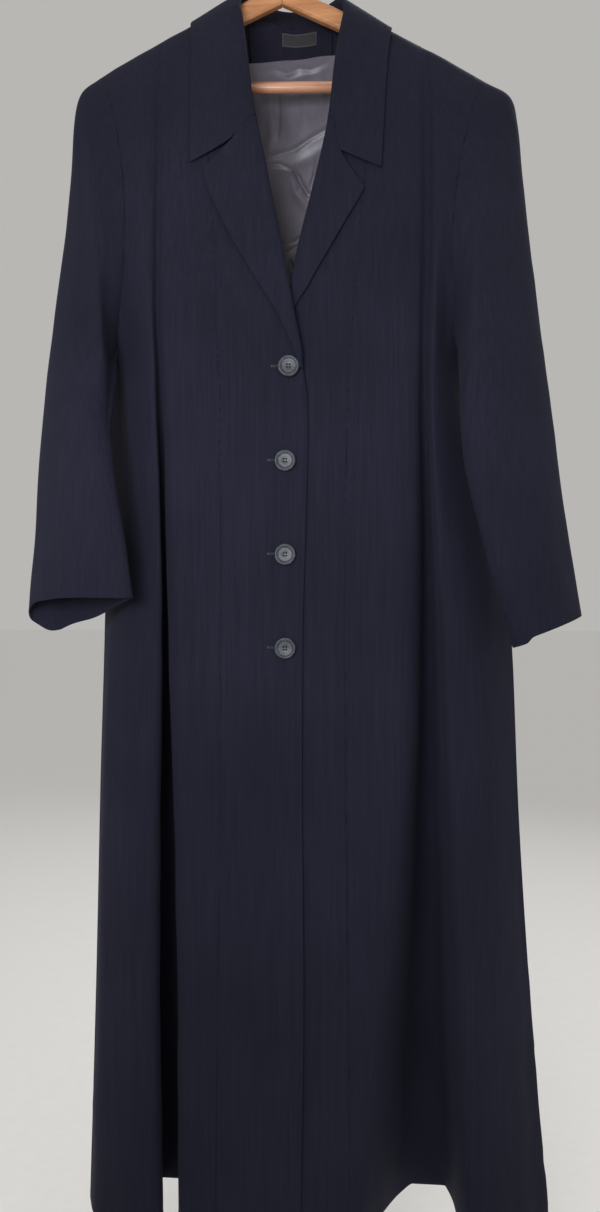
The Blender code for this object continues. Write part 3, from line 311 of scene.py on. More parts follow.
class Nodes:
    """Short ways to add the nodes of one material and join them."""

    def __init__(self, made):
        self.tree = made.node_tree
        self.shader = self.tree.nodes["Principled BSDF"]
        self.place = self.tree.nodes.new("ShaderNodeTexCoord").outputs["Object"]

    def add(self, kind, inputs=(), **settings):
        node = self.tree.nodes.new(kind)
        for name, value in settings.items():
            setattr(node, name, value)
        for name, value in dict(inputs).items():
            if isinstance(value, bpy.types.NodeSocket):
                self.tree.links.new(value, node.inputs[name])
            else:
                node.inputs[name].default_value = value
        return node

    def stretched(self, scale, turn=(0, 0, 0)):
        values = {"Vector": self.place, "Scale": scale, "Rotation": turn}
        return self.add("ShaderNodeMapping", values).outputs[0]

    def noise(self, scale, vector=None, detail=2.0, roughness=0.5):
        values = {"Vector": vector or self.place, "Scale": scale, "Detail": detail,
                  "Roughness": roughness}
        return self.add("ShaderNodeTexNoise", values).outputs["Fac"]

    def wave(self, scale, vector=None, direction="X", distortion=0.0, detail_scale=1.0):
        values = {"Vector": vector or self.place, "Scale": scale, "Distortion": distortion,
                  "Detail": 2.0, "Detail Scale": detail_scale}
        return self.add("ShaderNodeTexWave", values, bands_direction=direction).outputs["Fac"]

    def maths(self, operation, a, b):
        return self.add("ShaderNodeMath", {0: a, 1: b}, operation=operation).outputs[0]

    def weighed(self, a, share_a, b, share_b):
        """Two values added, each times its share."""
        return self.maths("ADD", self.maths("MULTIPLY", a, share_a), self.maths("MULTIPLY", b, share_b))

    def between(self, factor, reach, low):
        """A factor stretched over a reach from a low value."""
        return self.maths("ADD", self.maths("MULTIPLY", factor, reach), low)

    def multiplied(self, colour, other):
        values = {"Factor": 1.0, 6: colour, 7: other}
        return self.add("ShaderNodeMix", values, data_type="RGBA", blend_type="MULTIPLY").outputs[2]

    def ramp(self, factor, stops):
        node = self.add("ShaderNodeValToRGB", {"Fac": factor})
        elements = node.color_ramp.elements
        while len(elements) < len(stops):
            elements.new(0.5)
        for element, (position, colour) in zip(elements, stops):
            element.position = position
            element.color = (*colour, 1)
        return node.outputs["Color"]

    def bump(self, height, strength, distance, after=None):
        values = {"Height": height, "Strength": strength, "Distance": distance}
        if after is not None:
            values["Normal"] = after
        return self.add("ShaderNodeBump", values).outputs["Normal"]

    def finish(self, colour=None, roughness=None, normal=None):
        for socket, value in (("Base Color", colour), ("Roughness", roughness), ("Normal", normal)):
            if value is not None:
                self.tree.links.new(value, self.shader.inputs[socket])


def coat_cloth():
    """Matte wool crepe: a pebbled weave of tightly twisted yarns, near black with a blue cast."""
    made = new_material("coat cloth", (0.0134, 0.0136, 0.0260), 0.85, Sheen_Weight=0.05,
                        Sheen_Roughness=0.6, Sheen_Tint=(0.42, 0.42, 0.62, 1), Specular_IOR_Level=0.10)
    nodes = Nodes(made)
    skewed = nodes.stretched((1, 0.8, 1), (0, 0, math.radians(20)))
    warp = nodes.wave(430, skewed, "X", 3.5, 2.5)
    weft = nodes.wave(390, skewed, "Z", 3.5, 2.5)
    weave = nodes.maths("MULTIPLY", warp, weft)
    pebble = nodes.noise(1500, detail=1.0)
    slub = nodes.noise(380, nodes.stretched((1, 1, 0.03)), detail=2.0)
    patch = nodes.noise(5, detail=3.0)
    colour = nodes.ramp(nodes.weighed(patch, 0.55, slub, 0.45),
                        ((0.30, (0.0100, 0.0102, 0.0200)), (0.50, (0.0134, 0.0136, 0.0260)),
                         (0.70, (0.0174, 0.0174, 0.0330))))
    yarns = nodes.ramp(weave, ((0.0, (0.80, 0.80, 0.82)), (1.0, (1.35, 1.35, 1.38))))
    grain = nodes.bump(nodes.weighed(weave, 0.6, pebble, 0.5), 0.55, 0.00035)
    nodes.finish(nodes.multiplied(colour, yarns), nodes.between(pebble, 0.16, 0.74),
                 nodes.bump(nodes.noise(70, detail=3.0), 0.10, 0.002, grain))
    return made


def lining_satin():
    """Grey-violet satin: smooth, with long floats that catch the light along them."""
    made = new_material("lining satin", (0.118, 0.108, 0.142), 0.38, Sheen_Weight=0.15,
                        Sheen_Roughness=0.3, Specular_IOR_Level=0.6)
    nodes = Nodes(made)
    floats = nodes.noise(900, nodes.stretched((1, 1, 0.16)), detail=2.0)
    patch = nodes.noise(26, detail=3.0)
    colour = nodes.ramp(nodes.weighed(floats, 0.4, patch, 0.6),
                        ((0.30, (0.090, 0.082, 0.110)), (0.55, (0.118, 0.108, 0.142)),
                         (0.80, (0.160, 0.148, 0.188))))
    nodes.finish(colour, nodes.between(floats, 0.18, 0.30), nodes.bump(floats, 0.25, 0.0002))
    return made


def label_tape():
    """Plain woven tape in dark grey, with fine ribs across it."""
    made = new_material("label tape", (0.022, 0.024, 0.029), 0.6, Sheen_Weight=0.3,
                        Specular_IOR_Level=0.4)
    nodes = Nodes(made)
    ribs = nodes.wave(760, None, "Z", 0.8, 2.0)
    yarns = nodes.wave(620, None, "X", 0.8, 2.0)
    weave = nodes.maths("MULTIPLY", ribs, yarns)
    colour = nodes.ramp(weave, ((0.0, (0.012, 0.013, 0.017)), (1.0, (0.036, 0.039, 0.046))))
    nodes.finish(colour, None, nodes.bump(weave, 0.5, 0.0002))
    return made


def button_plastic():
    """Cloudy blue-grey plastic, polished and a little scuffed."""
    made = new_material("button blank", (0.035, 0.043, 0.055), 0.42, Coat_Weight=0.12,
                        Coat_Roughness=0.3, Specular_IOR_Level=0.35)
    nodes = Nodes(made)
    cloud = nodes.noise(190, nodes.stretched((1, 1, 2.2)), detail=4.0, roughness=0.6)
    colour = nodes.ramp(cloud, ((0.30, (0.016, 0.021, 0.027)), (0.52, (0.034, 0.042, 0.053)),
                                (0.75, (0.066, 0.078, 0.094))))
    scuff = nodes.noise(1400, detail=2.0)
    nodes.finish(colour, nodes.between(scuff, 0.25, 0.30), nodes.bump(scuff, 0.08, 0.0002))
    return made


def sewing_thread(name, colour):
    """Twisted sewing thread; the same material, near black, also makes the painted shadow in the
    buttonhole slits.
    """
    made = new_material(name, colour, 0.55, Sheen_Weight=0.3, Specular_IOR_Level=0.4)
    nodes = Nodes(made)
    twist = nodes.wave(1500, nodes.stretched((1, 1, 1), (0, math.radians(35), 0)), "X", 0.5, 1.0)
    lighter = tuple(min(1.0, c * 1.9) for c in colour)
    nodes.finish(nodes.ramp(twist, ((0.0, colour), (1.0, lighter))), None,
                 nodes.bump(twist, 0.6, 0.0001))
    return made


def hanger_wood(name, dark, light):
    """Clear-varnished wood with its grain running along X, between a dark and a light tone."""
    made = new_material(name, light, 0.38, Coat_Weight=0.35, Coat_Roughness=0.25)
    nodes = Nodes(made)
    along = nodes.stretched((0.10, 1, 1))
    grain = nodes.noise(240, along, detail=5.0, roughness=0.62)
    rings = nodes.wave(17, along, "Z", 7.0, 1.4)
    pores = nodes.noise(1300, nodes.stretched((0.06, 1, 1)), detail=2.0)
    colour = nodes.ramp(nodes.weighed(grain, 0.8, rings, 0.2), ((0.25, dark), (0.80, light)))
    dark_pores = nodes.ramp(pores, ((0.30, (0.84, 0.80, 0.76)), (0.42, (1, 1, 1))))
    nodes.finish(nodes.multiplied(colour, dark_pores), nodes.between(grain, 0.16, 0.28),
                 nodes.bump(pores, 0.18, 0.0003))
    return made


def hook_steel():
    """Bright plated wire with fine drawn lines."""
    made = new_material("hook steel", (0.62, 0.62, 0.61), 0.24, 1.0)
    nodes = Nodes(made)
    lines = nodes.noise(1800, nodes.stretched((1, 1, 0.12)), detail=3.0)
    colour = nodes.ramp(lines, ((0.3, (0.48, 0.48, 0.47)), (0.7, (0.70, 0.70, 0.69))))
    nodes.finish(colour, nodes.between(lines, 0.22, 0.14), nodes.bump(lines, 0.10, 0.0001))
    return made


MATERIALS = {
    "coat_cloth": coat_cloth(),
    "lining": lining_satin(),
    "label": label_tape(),
    "button": button_plastic(),
    "wood": hanger_wood("hanger wood", (0.440, 0.170, 0.062), (0.720, 0.350, 0.155)),
    "steel": hook_steel(),
}
BAR_WOOD = hanger_wood("bar wood", (0.560, 0.240, 0.135), (0.780, 0.430, 0.280))
THREAD_DARK = sewing_thread("dark thread", (0.010, 0.010, 0.016))
THREAD_BUTTON = sewing_thread("button thread", (0.012, 0.013, 0.019))
# Painted shadow: a near-black tube laid in each buttonhole's slit, where there is only shade
SLIT_PAINTED_SHADOW = sewing_thread("slit shadow", (0.0015, 0.0015, 0.0025))
THREAD_LABEL = sewing_thread("label thread", (0.060, 0.066, 0.076))


def add_piece(name, mesh, made):
    """A visible piece on the coat's body, with its material."""
    piece = bpy.data.objects.new(name, mesh)
    piece.data.materials.clear()
    piece.data.materials.append(made)
    bpy.context.collection.objects.link(piece)
    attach(piece, "root")
    return piece


def evaluated(holder):
    """The mesh of an object with its modifiers applied, which then takes the object's place."""
    mesh = bpy.data.meshes.new_from_object(
        holder.evaluated_get(bpy.context.evaluated_depsgraph_get()))
    bpy.data.objects.remove(holder)
    return mesh


def box_of(node):
    """The two corners of a node's box."""
    return (Vector(corner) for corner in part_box(node))


def tree_of(points):
    """A search tree over points."""
    tree = KDTree(len(points))
    for i, point in enumerate(points):
        tree.insert(point, i)
    tree.balance()
    return tree


OUTER, INNER, RIM = 0, 1, 2


def spans_wall(edge, thick):
    """Whether an edge runs across the wall, from one face to the other."""
    return abs(edge.calc_length() - thick * MM) < EDGE_MATCH


def wall_cage(node, thick):
    """A node's wall with its rim marked by material index, and the sets of faces of its two sides."""
    bm = bmesh.new()
    bm.from_mesh(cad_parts[node].data)
    bmesh.ops.remove_doubles(bm, verts=bm.verts, dist=SAME_CLOTH_POINT)
    across = {e for e in bm.edges if spans_wall(e, thick)}
    for face in bm.faces:
        face.material_index = RIM if any(e in across for e in face.edges) else OUTER
    sides = []
    waiting = {f for f in bm.faces if f.material_index != RIM}
    while waiting:
        side, stack = set(), [waiting.pop()]
        while stack:
            face = stack.pop()
            side.add(face)
            for edge in face.edges:
                for other in edge.link_faces:
                    if other in waiting:
                        waiting.remove(other)
                        stack.append(other)
        sides.append(side)
    return bm, sides


def facing(side, node):
    """How much a side of a wall faces out: forwards on a front, away from its axis on a sleeve."""
    low, high = box_of(node)
    flat = Vector((1, 1, 0))
    total = 0.0
    for face in side:
        centre = face.calc_center_median()
        area = face.calc_area()
        if node.startswith("sleeve"):
            total += area * face.normal.dot((centre - sleeve_axis(node, centre.z)) * flat)
        elif node == "back":
            total += area * face.normal.y
        elif node == "collar" and centre.z >= COLLAR_FALL_TOP:
            out = (centre - Vector(((low.x + high.x) / 2, NECK_Y, 0))) * flat
            total += area * face.normal.dot(out.normalized())
        else:
            total -= area * face.normal.y
    return total


def sleeve_axis(node, z):
    """The middle of a sleeve at a height."""
    share = (z / MM - SLEEVE_TOP) / (SLEEVE_END - SLEEVE_TOP)
    out = SLEEVE_OUT[0] + SLEEVE_OUT[1] * share
    x = -out if "left" in node else out + RIGHT_SLEEVE_MORE
    return Vector((x * MM, (SLEEVE_FORWARD[0] + SLEEVE_FORWARD[1] * share ** 2) * MM, z))


def join_quads(bm):
    """Joins the two triangles of each cell across their longest edge, then any that are left."""
    longest = []
    for edge in bm.edges:
        faces = edge.link_faces
        if len(faces) != 2 or any(len(f.verts) != 3 for f in faces):
            continue
        if faces[0].material_index != faces[1].material_index:
            continue
        if all(edge == max(f.edges, key=lambda e: e.calc_length()) for f in faces):
            longest.append(edge)
    bmesh.ops.dissolve_edges(bm, edges=longest, use_verts=False, use_face_split=False)
    rest = [f for f in bm.faces if len(f.verts) == 3]
    bmesh.ops.join_triangles(bm, faces=rest, cmp_materials=True, angle_face_threshold=0.9,
                             angle_shape_threshold=1.4)


def neighbours_tree(node):
    """The points of all the other pieces of cloth, to tell a seam from a free edge."""
    return tree_of([v.co for other in SHELLS if other != node
                    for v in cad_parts[other].data.vertices])


def crease_edges(bm, node):
    """Sharpens the wall's edges, most where they are sewn, and gives points along the seams."""
    tree = neighbours_tree(node)
    crease = bm.edges.layers.float.new("crease_edge")
    seam_points = []
    for edge in bm.edges:
        kinds = {f.material_index for f in edge.link_faces}
        if RIM in kinds and len(kinds) == 2:
            seam = max(tree.find(v.co)[2] for v in edge.verts) < SEAM_NEAR * MM
            edge[crease] = SEWN_CREASE if seam else FREE_CREASE
            if seam:
                start, end = (v.co.copy() for v in edge.verts)
                seam_points += [start, (start + end) / 2, end]
    return crease, seam_points


def crease_corners(bm, crease, thick):
    """Keeps the corners of the cloth sharp, through its wall."""
    for edge in (e for e in bm.edges if spans_wall(e, thick)):
        for v in edge.verts:
            runs = [e for e in v.link_edges if e != edge and e[crease] > 0]
            if len(runs) == 2:
                a, b = (e.other_vert(v).co - v.co for e in runs)
                if a.angle(b, 0.0) < math.radians(CORNER_TURN):
                    edge[crease] = SEWN_CREASE


def refined(node, thick, levels):
    """The node's wall divided smoothly, as a mesh, and points along its seams."""
    bm, sides = wall_cage(node, thick)
    sides.sort(key=lambda side: facing(side, node), reverse=True)
    for face in (f for side in sides[1:] for f in side):
        face.material_index = INNER
    join_quads(bm)
    crease, seam_points = crease_edges(bm, node)
    crease_corners(bm, crease, thick)
    mesh = bpy.data.meshes.new(node + "_cage")
    bm.to_mesh(mesh)
    bm.free()
    cage = bpy.data.objects.new(node + "_cage", mesh)
    bpy.context.collection.objects.link(cage)
    divide = cage.modifiers.new("divide", "SUBSURF")
    divide.levels = divide.render_levels = levels
    fine = evaluated(cage)
    bpy.data.meshes.remove(mesh)
    return fine, seam_points


def finer_cells(mesh, spans):
    """Divides the cells of the wall's outer face again within the spans given in x and z."""
    (x0, x1), (z0, z1) = spans
    bm = bmesh.new()
    bm.from_mesh(mesh)
    edges = set()
    for face in bm.faces:
        centre = face.calc_center_median() / MM
        if face.material_index == OUTER and x0 < centre.x < x1 and z0 < centre.z < z1:
            edges.update(face.edges)
    bmesh.ops.subdivide_edges(bm, edges=list(edges), cuts=2, use_grid_fill=True)
    bm.to_mesh(mesh)
    bm.free()


def outward_directions(mesh):
    """For each point, the unit direction out of the cloth's face, on both sides of the wall."""
    points = np.empty(len(mesh.vertices) * 3)
    mesh.vertices.foreach_get("co", points)
    points = points.reshape(-1, 3)
    values = {}
    for name, width in (("normal", 3), ("area", 1), ("material_index", 1), ("loop_total", 1)):
        kind = float if name in ("normal", "area") else int
        values[name] = np.empty(len(mesh.polygons) * width, kind)
        mesh.polygons.foreach_get(name, values[name])
    corners = np.empty(len(mesh.loops), int)
    mesh.loops.foreach_get("vertex_index", corners)
    kinds = values["material_index"]
    sign = np.select([kinds == OUTER, kinds == INNER], [1.0, -1.0], 0.0)
    pull = values["normal"].reshape(-1, 3) * (values["area"] * sign)[:, None]
    directions = np.zeros_like(points)
    np.add.at(directions, corners, np.repeat(pull, values["loop_total"], axis=0))
    length = np.linalg.norm(directions, axis=1, keepdims=True)
    return points, directions / np.maximum(length, 1e-12)


def along_folds(points, folds):
    """Height added by a set of folds at points in millimetres, each fading out at its ends."""
    flat = points[:, (0, 2)]
    height = np.zeros(len(points))
    for depth, half_width, route in folds:
        route = np.array(route, float)
        steps = np.linalg.norm(np.diff(route, axis=0), axis=1)
        total = steps.sum()
        nearest = np.full(len(flat), 1e9)
        place = np.zeros(len(flat))
        done = 0.0
        for start, end, step in zip(route[:-1], route[1:], steps):
            share = np.clip(((flat - start) @ (end - start)) / step ** 2, 0, 1)
            gap = np.linalg.norm(flat - start - share[:, None] * (end - start), axis=1)
            closer = gap < nearest
            nearest = np.where(closer, gap, nearest)
            place = np.where(closer, (done + share * step) / total, place)
            done += step
        fade = np.sin(np.pi * np.clip(place, 0.0, 1.0) * 0.92 + 0.12) ** 0.8
        height += depth * fade * np.exp(-(nearest / half_width) ** 2)
    return height


def unevenness(points, scale=1.0):
    """Slow waves of hung cloth, a little stronger lower down."""
    x, y, z = points.T
    total = np.zeros(len(points))
    for height, across, down, phase in UNEVEN:
        sway = 0.8 * np.sin(2 * np.pi * z / down + phase)
        total += height * np.sin(2 * np.pi * (x + 0.6 * y) / across + phase + sway)
    return total * scale * (0.5 + 0.5 * np.clip((-z - 150) / 900, 0, 1))


def sewn_shut(node, points):
    """Draws a seam's edges together, across the space that the solids leave between two pieces."""
    corners, faces = [], []
    for other in SHELLS:
        if other != node:
            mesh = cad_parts[other].data
            faces += [[len(corners) + i for i in face.vertices] for face in mesh.polygons]
            corners += [v.co for v in mesh.vertices]
    others = BVHTree.FromPolygons(corners, faces)
    shift = np.zeros_like(points)
    for i, point in enumerate(points):
        near = others.find_nearest(Vector(point), SEAM_SPACE * MM)
        if near[0] is not None:
            shift[i] = SEAM_CLOSE * (np.array(near[0]) - point)
    return shift


def hem_step(places):
    """The inner part of the right cuff hangs a little lower, past a short step in its hem."""
    x, _, z = places.T
    low = np.clip((-z - HEM_STEP_TOP) / HEM_STEP_REACH, 0, 1) ** 2
    return -HEM_STEP / (1 + np.exp((x - HEM_STEP_X) / HEM_STEP_SOFT)) * low


def shifted(node, places):
    """The shift of each point where its piece leans against its neighbour or bends at its hem."""
    shift = np.zeros_like(places)
    for centre, reach, move in SHIFTS.get(node, ()):
        near = np.exp(-(((places - centre) / reach) ** 2).sum(axis=1))
        shift += near[:, None] * np.array(move)
    return shift


def seam_distance(points, seam_points):
    """How far each point is from a seam, in millimetres, or very far on a piece without one."""
    if not seam_points:
        return np.full(len(points), 1e3)
    tree = tree_of(seam_points)
    return np.array([tree.find(Vector(p))[2] for p in points]) / MM


def folds_for(node, places, directions):
    """The height of the folds on one piece, by the way its cloth faces."""
    forward = np.clip(-directions[:, 1] * FACING_GAIN, 0, 1)
    backward = np.clip(directions[:, 1] * FACING_GAIN, 0, 1)
    if node == "back_lining":
        return along_folds(places, LINING_FOLDS) * forward
    if node.startswith("sleeve"):
        return along_folds(places, SLEEVE_FOLDS) * forward
    if node.startswith("front"):
        return (along_folds(places, FRONT_FOLDS) + along_folds(places, POCKET_MARKS)) * forward
    if node == "back":
        return along_folds(places, BACK_FOLDS) * backward
    return np.zeros(len(places))


def cloth_shell(node):
    """Smooth cloth on a node's form, with its folds, its slight waves and its pressed seams."""
    thick, levels, slot, width, length, area, held_by = SHELLS[node]
    mesh, seam_points = refined(node, thick, levels)
    if node in FINER:
        finer_cells(mesh, FINER[node])
    points, directions = outward_directions(mesh)
    places = points / MM
    seam = seam_distance(points, seam_points)
    closing = sewn_shut(node, points)
    settle = 1 - np.exp(-(seam / SEAM_FLAT) ** 2)
    waves = unevenness(places, SMALL_UNEVEN if node in SMALL_PIECES else 1.0)
    height = (folds_for(node, places, directions) + waves) * settle
    height -= GROOVE_DEPTH * np.exp(-(seam / GROOVE_HALF_WIDTH) ** 2)
    points = points + directions * height[:, None] * MM + shifted(node, places) * MM + closing
    if node.startswith("sleeve_right"):
        points[:, 2] += hem_step(places) * MM
    mesh.vertices.foreach_set("co", points.ravel())
    mesh.polygons.foreach_set("material_index", np.zeros(len(mesh.polygons), int))
    mesh.update()
    mesh.shade_smooth()
    piece = add_piece(node + "_cloth", mesh, MATERIALS[slot])
    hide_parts(node)


def tube(name, route, radius, sides):
    """A thread's mesh along a route in metres, with a radius in millimetres."""
    curve = bpy.data.curves.new(name, "CURVE")
    curve.dimensions = "3D"
    spline = curve.splines.new("POLY")
    spline.points.add(len(route) - 1)
    for point, place in zip(spline.points, route):
        point.co = (*place, 1)
    curve.bevel_depth = radius * MM
    curve.bevel_resolution = sides
    curve.use_fill_caps = True
    holder = bpy.data.objects.new(name, curve)
    bpy.context.collection.objects.link(holder)
    mesh = evaluated(holder)
    bpy.data.curves.remove(curve)
    mesh.shade_smooth()
    return mesh


def joined(name, meshes):
    """Several meshes as one."""
    bm = bmesh.new()
    for mesh in meshes:
        bm.from_mesh(mesh)
        bpy.data.meshes.remove(mesh)
    whole = bpy.data.meshes.new(name)
    bm.to_mesh(whole)
    bm.free()
    whole.shade_smooth()
    return whole


def around(centre, radius, angle, y):
    """A place on a circle that faces the viewer, about a centre."""
    return Vector((centre.x + radius * MM * math.cos(angle), y,
                   centre.z + radius * MM * math.sin(angle)))


def turned_profile(name, centre, back_y):
    """The button's profile turned about its axis, closed at the front and the back."""
    steps = range(BUTTON_STEPS)
    turn = 2 * math.pi / BUTTON_STEPS
    bm = bmesh.new()
    rings = [[bm.verts.new(around(centre, radius, turn * k, back_y - height * MM)) for k in steps]
             for radius, height in BUTTON_PROFILE[1:-1]]
    for inner, outer in zip(rings[:-1], rings[1:]):
        for k in steps:
            after = (k + 1) % BUTTON_STEPS
            bm.faces.new((inner[k], inner[after], outer[after], outer[k]))
    for ring, (_, height) in ((rings[0], BUTTON_PROFILE[0]), (rings[-1], BUTTON_PROFILE[-1])):
        tip = bm.verts.new((centre.x, back_y - height * MM, centre.z))
        for k in steps:
            bm.faces.new((tip, ring[k], ring[(k + 1) % BUTTON_STEPS]))
    bmesh.ops.recalc_face_normals(bm, faces=bm.faces)
    mesh = bpy.data.meshes.new(name)
    bm.to_mesh(mesh)
    bm.free()
    return mesh


def button(number):
    """A four-hole button with a rolled rim and a dished middle, in place of its node."""
    node = f"button_{number}"
    low, high = box_of(node)
    centre = (low + high) / 2
    blank = bpy.data.objects.new(node + "_blank", turned_profile(node + "_blank", centre, high.y))
    bpy.context.collection.objects.link(blank)
    cutters = []
    for angle in BUTTON_HOLE_ANGLES:
        bpy.ops.mesh.primitive_cylinder_add(
            vertices=20, radius=BUTTON_HOLE_RADIUS * MM, depth=20 * MM, rotation=(math.pi / 2, 0, 0),
            location=around(centre, BUTTON_HOLE_OFF, math.radians(angle), centre.y))
        cutters.append(bpy.context.object)
        blank.modifiers.new("hole", "BOOLEAN").object = cutters[-1]
    whole = evaluated(blank)
    for cutter in cutters:
        bpy.data.objects.remove(cutter)
    whole.shade_smooth()
    whole.set_sharp_from_angle(angle=math.radians(50))
    piece = add_piece(node + "_blank", whole, MATERIALS["button"])
    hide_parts(node)
    add_button_thread(number, centre, high.y)
    add_buttonhole(number, centre)


def add_button_thread(number, centre, back_y):
    """Two stitches across the holes, each of several strands side by side that rise and dip."""
    front = back_y - BUTTON_DISH * MM
    reach = BUTTON_HOLE_OFF * math.cos(math.radians(45))
    meshes = []
    for level in (-1, 1):
        z = centre.z + level * reach * MM
        for strand in STRANDS:
            route = []
            for t in np.linspace(-1, 1, 9):
                lift = 0.55 * (1 - t ** 4) - 1.2 * abs(t) ** 8
                aside = strand * THREAD * 0.9 * (1 - 0.4 * abs(t))
                route.append((centre.x + reach * t * MM, front - lift * MM, z + aside * MM))
            meshes.append(tube("strand", route, THREAD / 2, 1))
    add_piece(f"button_{number}_thread", joined("thread", meshes), THREAD_BUTTON)


def cloth_y(x, z, start, missed):
    """Where the cloth lies at a place, seen forwards from a start, all in metres."""
    hit, place, _, _, _, _ = bpy.context.scene.ray_cast(
        bpy.context.evaluated_depsgraph_get(), Vector((x, start, z)), Vector((0, 1, 0)))
    return place.y if hit else missed


def add_buttonhole(number, centre):
    """The end of a buttonhole that shows: a slit whose shade is painted as a near-black tube, stitched
    along both edges and barred.
    """
    z = centre.z + BUTTONHOLE_RISE * MM
    slit = []
    edges = []
    for off in np.arange(-BUTTONHOLE_REACH, -BUTTON_RADIUS - BUTTONHOLE_CLEAR, STITCH_STEP):
        x = centre.x + off * MM
        y = cloth_y(x, z, *FRONT_LOOK)
        slit.append((x, y, z))
        for side in (-1, 1):
            route = []
            for t in (0.3, 0.5, 0.75, 1.0):
                lift = STITCH_LIFT * math.sin(math.pi * t) ** 0.5 if t < 1 else -0.1
                route.append((x, y - lift * MM, z + side * t * BUTTONHOLE_STITCH * MM))
            edges.append(tube("stitch", route, STITCH_RADIUS, 0))
    add_piece(f"buttonhole_{number}", joined("buttonhole", edges), THREAD_DARK)
    slit.append((slit[-1][0] + SLIT_UNDER_BUTTON * MM, *slit[-1][1:]))
    # The slit's dark is painted shadow: a near-black tube laid along it on the cloth
    add_piece(f"buttonhole_slit_shadow_{number}", tube("slit", slit[2:], SLIT_RADIUS, 2), SLIT_PAINTED_SHADOW)
    add_piece(f"buttonhole_bar_{number}", end_bar(*slit[0]), THREAD_LABEL)


def end_bar(x, y, z):
    """The strands across the end of a buttonhole."""
    bar = []
    for k in range(BAR_STRANDS):
        route = [(x - 0.3 * k * MM, y - (0.4 * (1 - t ** 4) - 0.1) * MM, z + 1.1 * t * MM)
                 for t in (-1, -0.6, 0, 0.6, 1)]
        bar.append(tube("bar", route, STITCH_RADIUS, 1))
    return joined("bar", bar)


def label_stitches():
    """Running stitches that hold the label at both short ends."""
    low, high = box_of("neck_label")
    meshes = []
    for end in (-1, 1):
        x = (low.x + high.x) / 2 + end * ((high.x - low.x) / 2 - LABEL_STITCH_INSET * MM)
        z = low.z + 1.2 * MM
        while z < high.z - 2.2 * MM:
            route = []
            for t in (0, 0.25, 0.5, 0.75, 1):
                level = z + LABEL_STITCH * MM * t
                lift = 0.22 * math.sin(math.pi * t) - 0.04
                route.append((x, cloth_y(x, level, *NECK_LOOK) - lift * MM, level))
            meshes.append(tube("stitch", route, LABEL_STITCH_RADIUS, 1))
            z += LABEL_STITCH_STEP * MM
    add_piece("label_stitches", joined("label_stitches", meshes), THREAD_BUTTON)


def label_border():
    """A raised woven line just inside the label's edge."""
    low, high = box_of("neck_label")
    inset = BORDER_INSET * MM
    middle_x, half = (low.x + high.x) / 2, (high.x - low.x) / 2 - inset
    tilt = (high.z - low.z) - LABEL_HEIGHT * MM
    route = []
    for side, edge in ((1, high.z - tilt / 2 - inset), (-1, low.z + tilt / 2 + inset)):
        for t in np.linspace(-side, side, BORDER_POINTS):
            x = middle_x + half * t
            z = edge - tilt * t / 2
            route.append((x, cloth_y(x, z, *NECK_LOOK) - 0.05 * MM, z))
    line = tube("label_border", route + route[:1], BORDER_RADIUS, 1)
    add_piece("label_border", line, THREAD_LABEL)


def hard_piece(node, made, bevel=0.0):
    """A hanger piece from its node, with its edges eased by a width in millimetres."""
    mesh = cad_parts[node].data.copy()
    bm = bmesh.new()
    bm.from_mesh(mesh)
    bmesh.ops.remove_doubles(bm, verts=bm.verts, dist=SAME_HARD_POINT)
    bmesh.ops.join_triangles(bm, faces=bm.faces, angle_face_threshold=0.35,
                             angle_shape_threshold=2.8)
    bm.to_mesh(mesh)
    bm.free()
    holder = bpy.data.objects.new(node + "_shape", mesh)
    bpy.context.collection.objects.link(holder)
    if bevel:
        ease = holder.modifiers.new("ease", "BEVEL")
        ease.width = bevel * MM
        ease.segments = 3
        ease.limit_method = "ANGLE"
        ease.angle_limit = math.radians(24)
    whole = evaluated(holder)
    bpy.data.meshes.remove(mesh)
    whole.shade_smooth()
    whole.set_sharp_from_angle(angle=math.radians(50))
    piece = add_piece(node + "_made", whole, made)
    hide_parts(node)


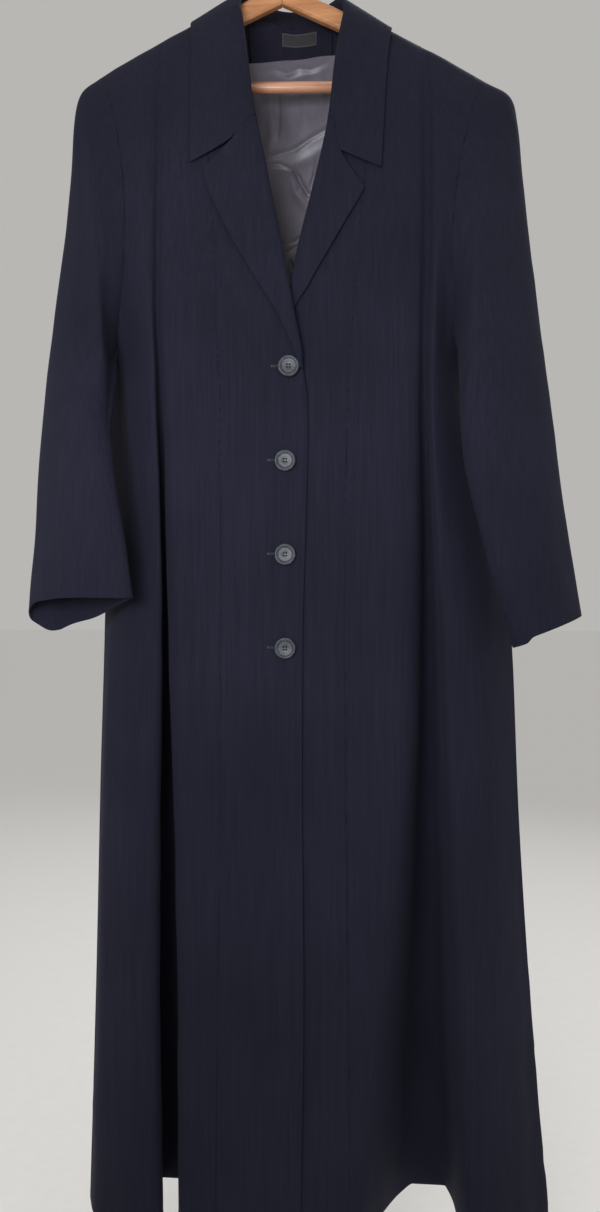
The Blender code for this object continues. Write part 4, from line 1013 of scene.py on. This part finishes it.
def set_stage():
    """A plain pale floor that the coat hangs over, wide on all sides."""
    bm = bmesh.new()
    bmesh.ops.create_grid(bm, x_segments=4, y_segments=4, size=FLOOR_REACH)
    bmesh.ops.translate(bm, verts=bm.verts, vec=(0, 0, FLOOR_Z * MM))
    mesh = bpy.data.meshes.new("floor")
    bm.to_mesh(mesh)
    bm.free()
    floor = bpy.data.objects.new("floor", mesh)
    bpy.context.collection.objects.link(floor)
    pale = new_material("pale floor", (0.95, 0.945, 0.93), 0.9)
    nodes = Nodes(pale)
    nodes.finish(nodes.ramp(nodes.noise(60, detail=3.0), FLOOR_TONES))
    floor.data.materials.append(pale)


def add_light(name, place, target, size, power, colour, spread):
    """A soft rectangular lamp that points at its target."""
    lamp = bpy.data.lights.new(name, "AREA")
    lamp.shape = "RECTANGLE"
    lamp.size, lamp.size_y = size
    lamp.energy = power
    lamp.color = colour
    lamp.spread = math.radians(spread)
    holder = bpy.data.objects.new(name, lamp)
    holder.location = Vector(place)
    holder.rotation_euler = (Vector(target) - Vector(place)).to_track_quat("-Z", "Y").to_euler()
    bpy.context.collection.objects.link(holder)


def set_lights():
    """The lamps, in a room that is evenly bright."""
    for name, lamp in LAMPS.items():
        add_light(name, *lamp)
    world = bpy.data.worlds.new("soft room")
    world.use_nodes = True
    background = world.node_tree.nodes["Background"]
    background.inputs["Color"].default_value = ROOM_COLOUR
    background.inputs["Strength"].default_value = ROOM_STRENGTH
    bpy.context.scene.world = world


def set_camera():
    """A camera level with the middle of the coat."""
    bearing = math.radians(CAMERA_BEARING)
    target = Vector(CAMERA_TARGET) * MM
    place = target + Vector((math.sin(bearing), -math.cos(bearing), 0)) * CAMERA_DISTANCE * MM
    camera = bpy.data.cameras.new("camera")
    camera.lens = CAMERA_LENS
    camera.sensor_fit = "VERTICAL"
    camera.sensor_height = SENSOR
    camera.clip_start = 0.01
    holder = bpy.data.objects.new("camera", camera)
    holder.location = place
    holder.rotation_euler = (target - place).to_track_quat("-Z", "Y").to_euler()
    bpy.context.collection.objects.link(holder)
    bpy.context.scene.camera = holder
    bpy.context.scene.view_settings.view_transform = "Standard"


set_camera()
for node in SHELLS:
    cloth_shell(node)
bpy.context.view_layer.update()
for number in range(1, BUTTON_COUNT + 1):
    button(number)
label_stitches()
label_border()
for node in ("hanger_arm_left", "hanger_arm_right"):
    hard_piece(node, MATERIALS["wood"], 0.9)
hard_piece("hanger_bar", BAR_WOOD)
hard_piece("hanger_hook", MATERIALS["steel"])
set_stage()
set_lights()
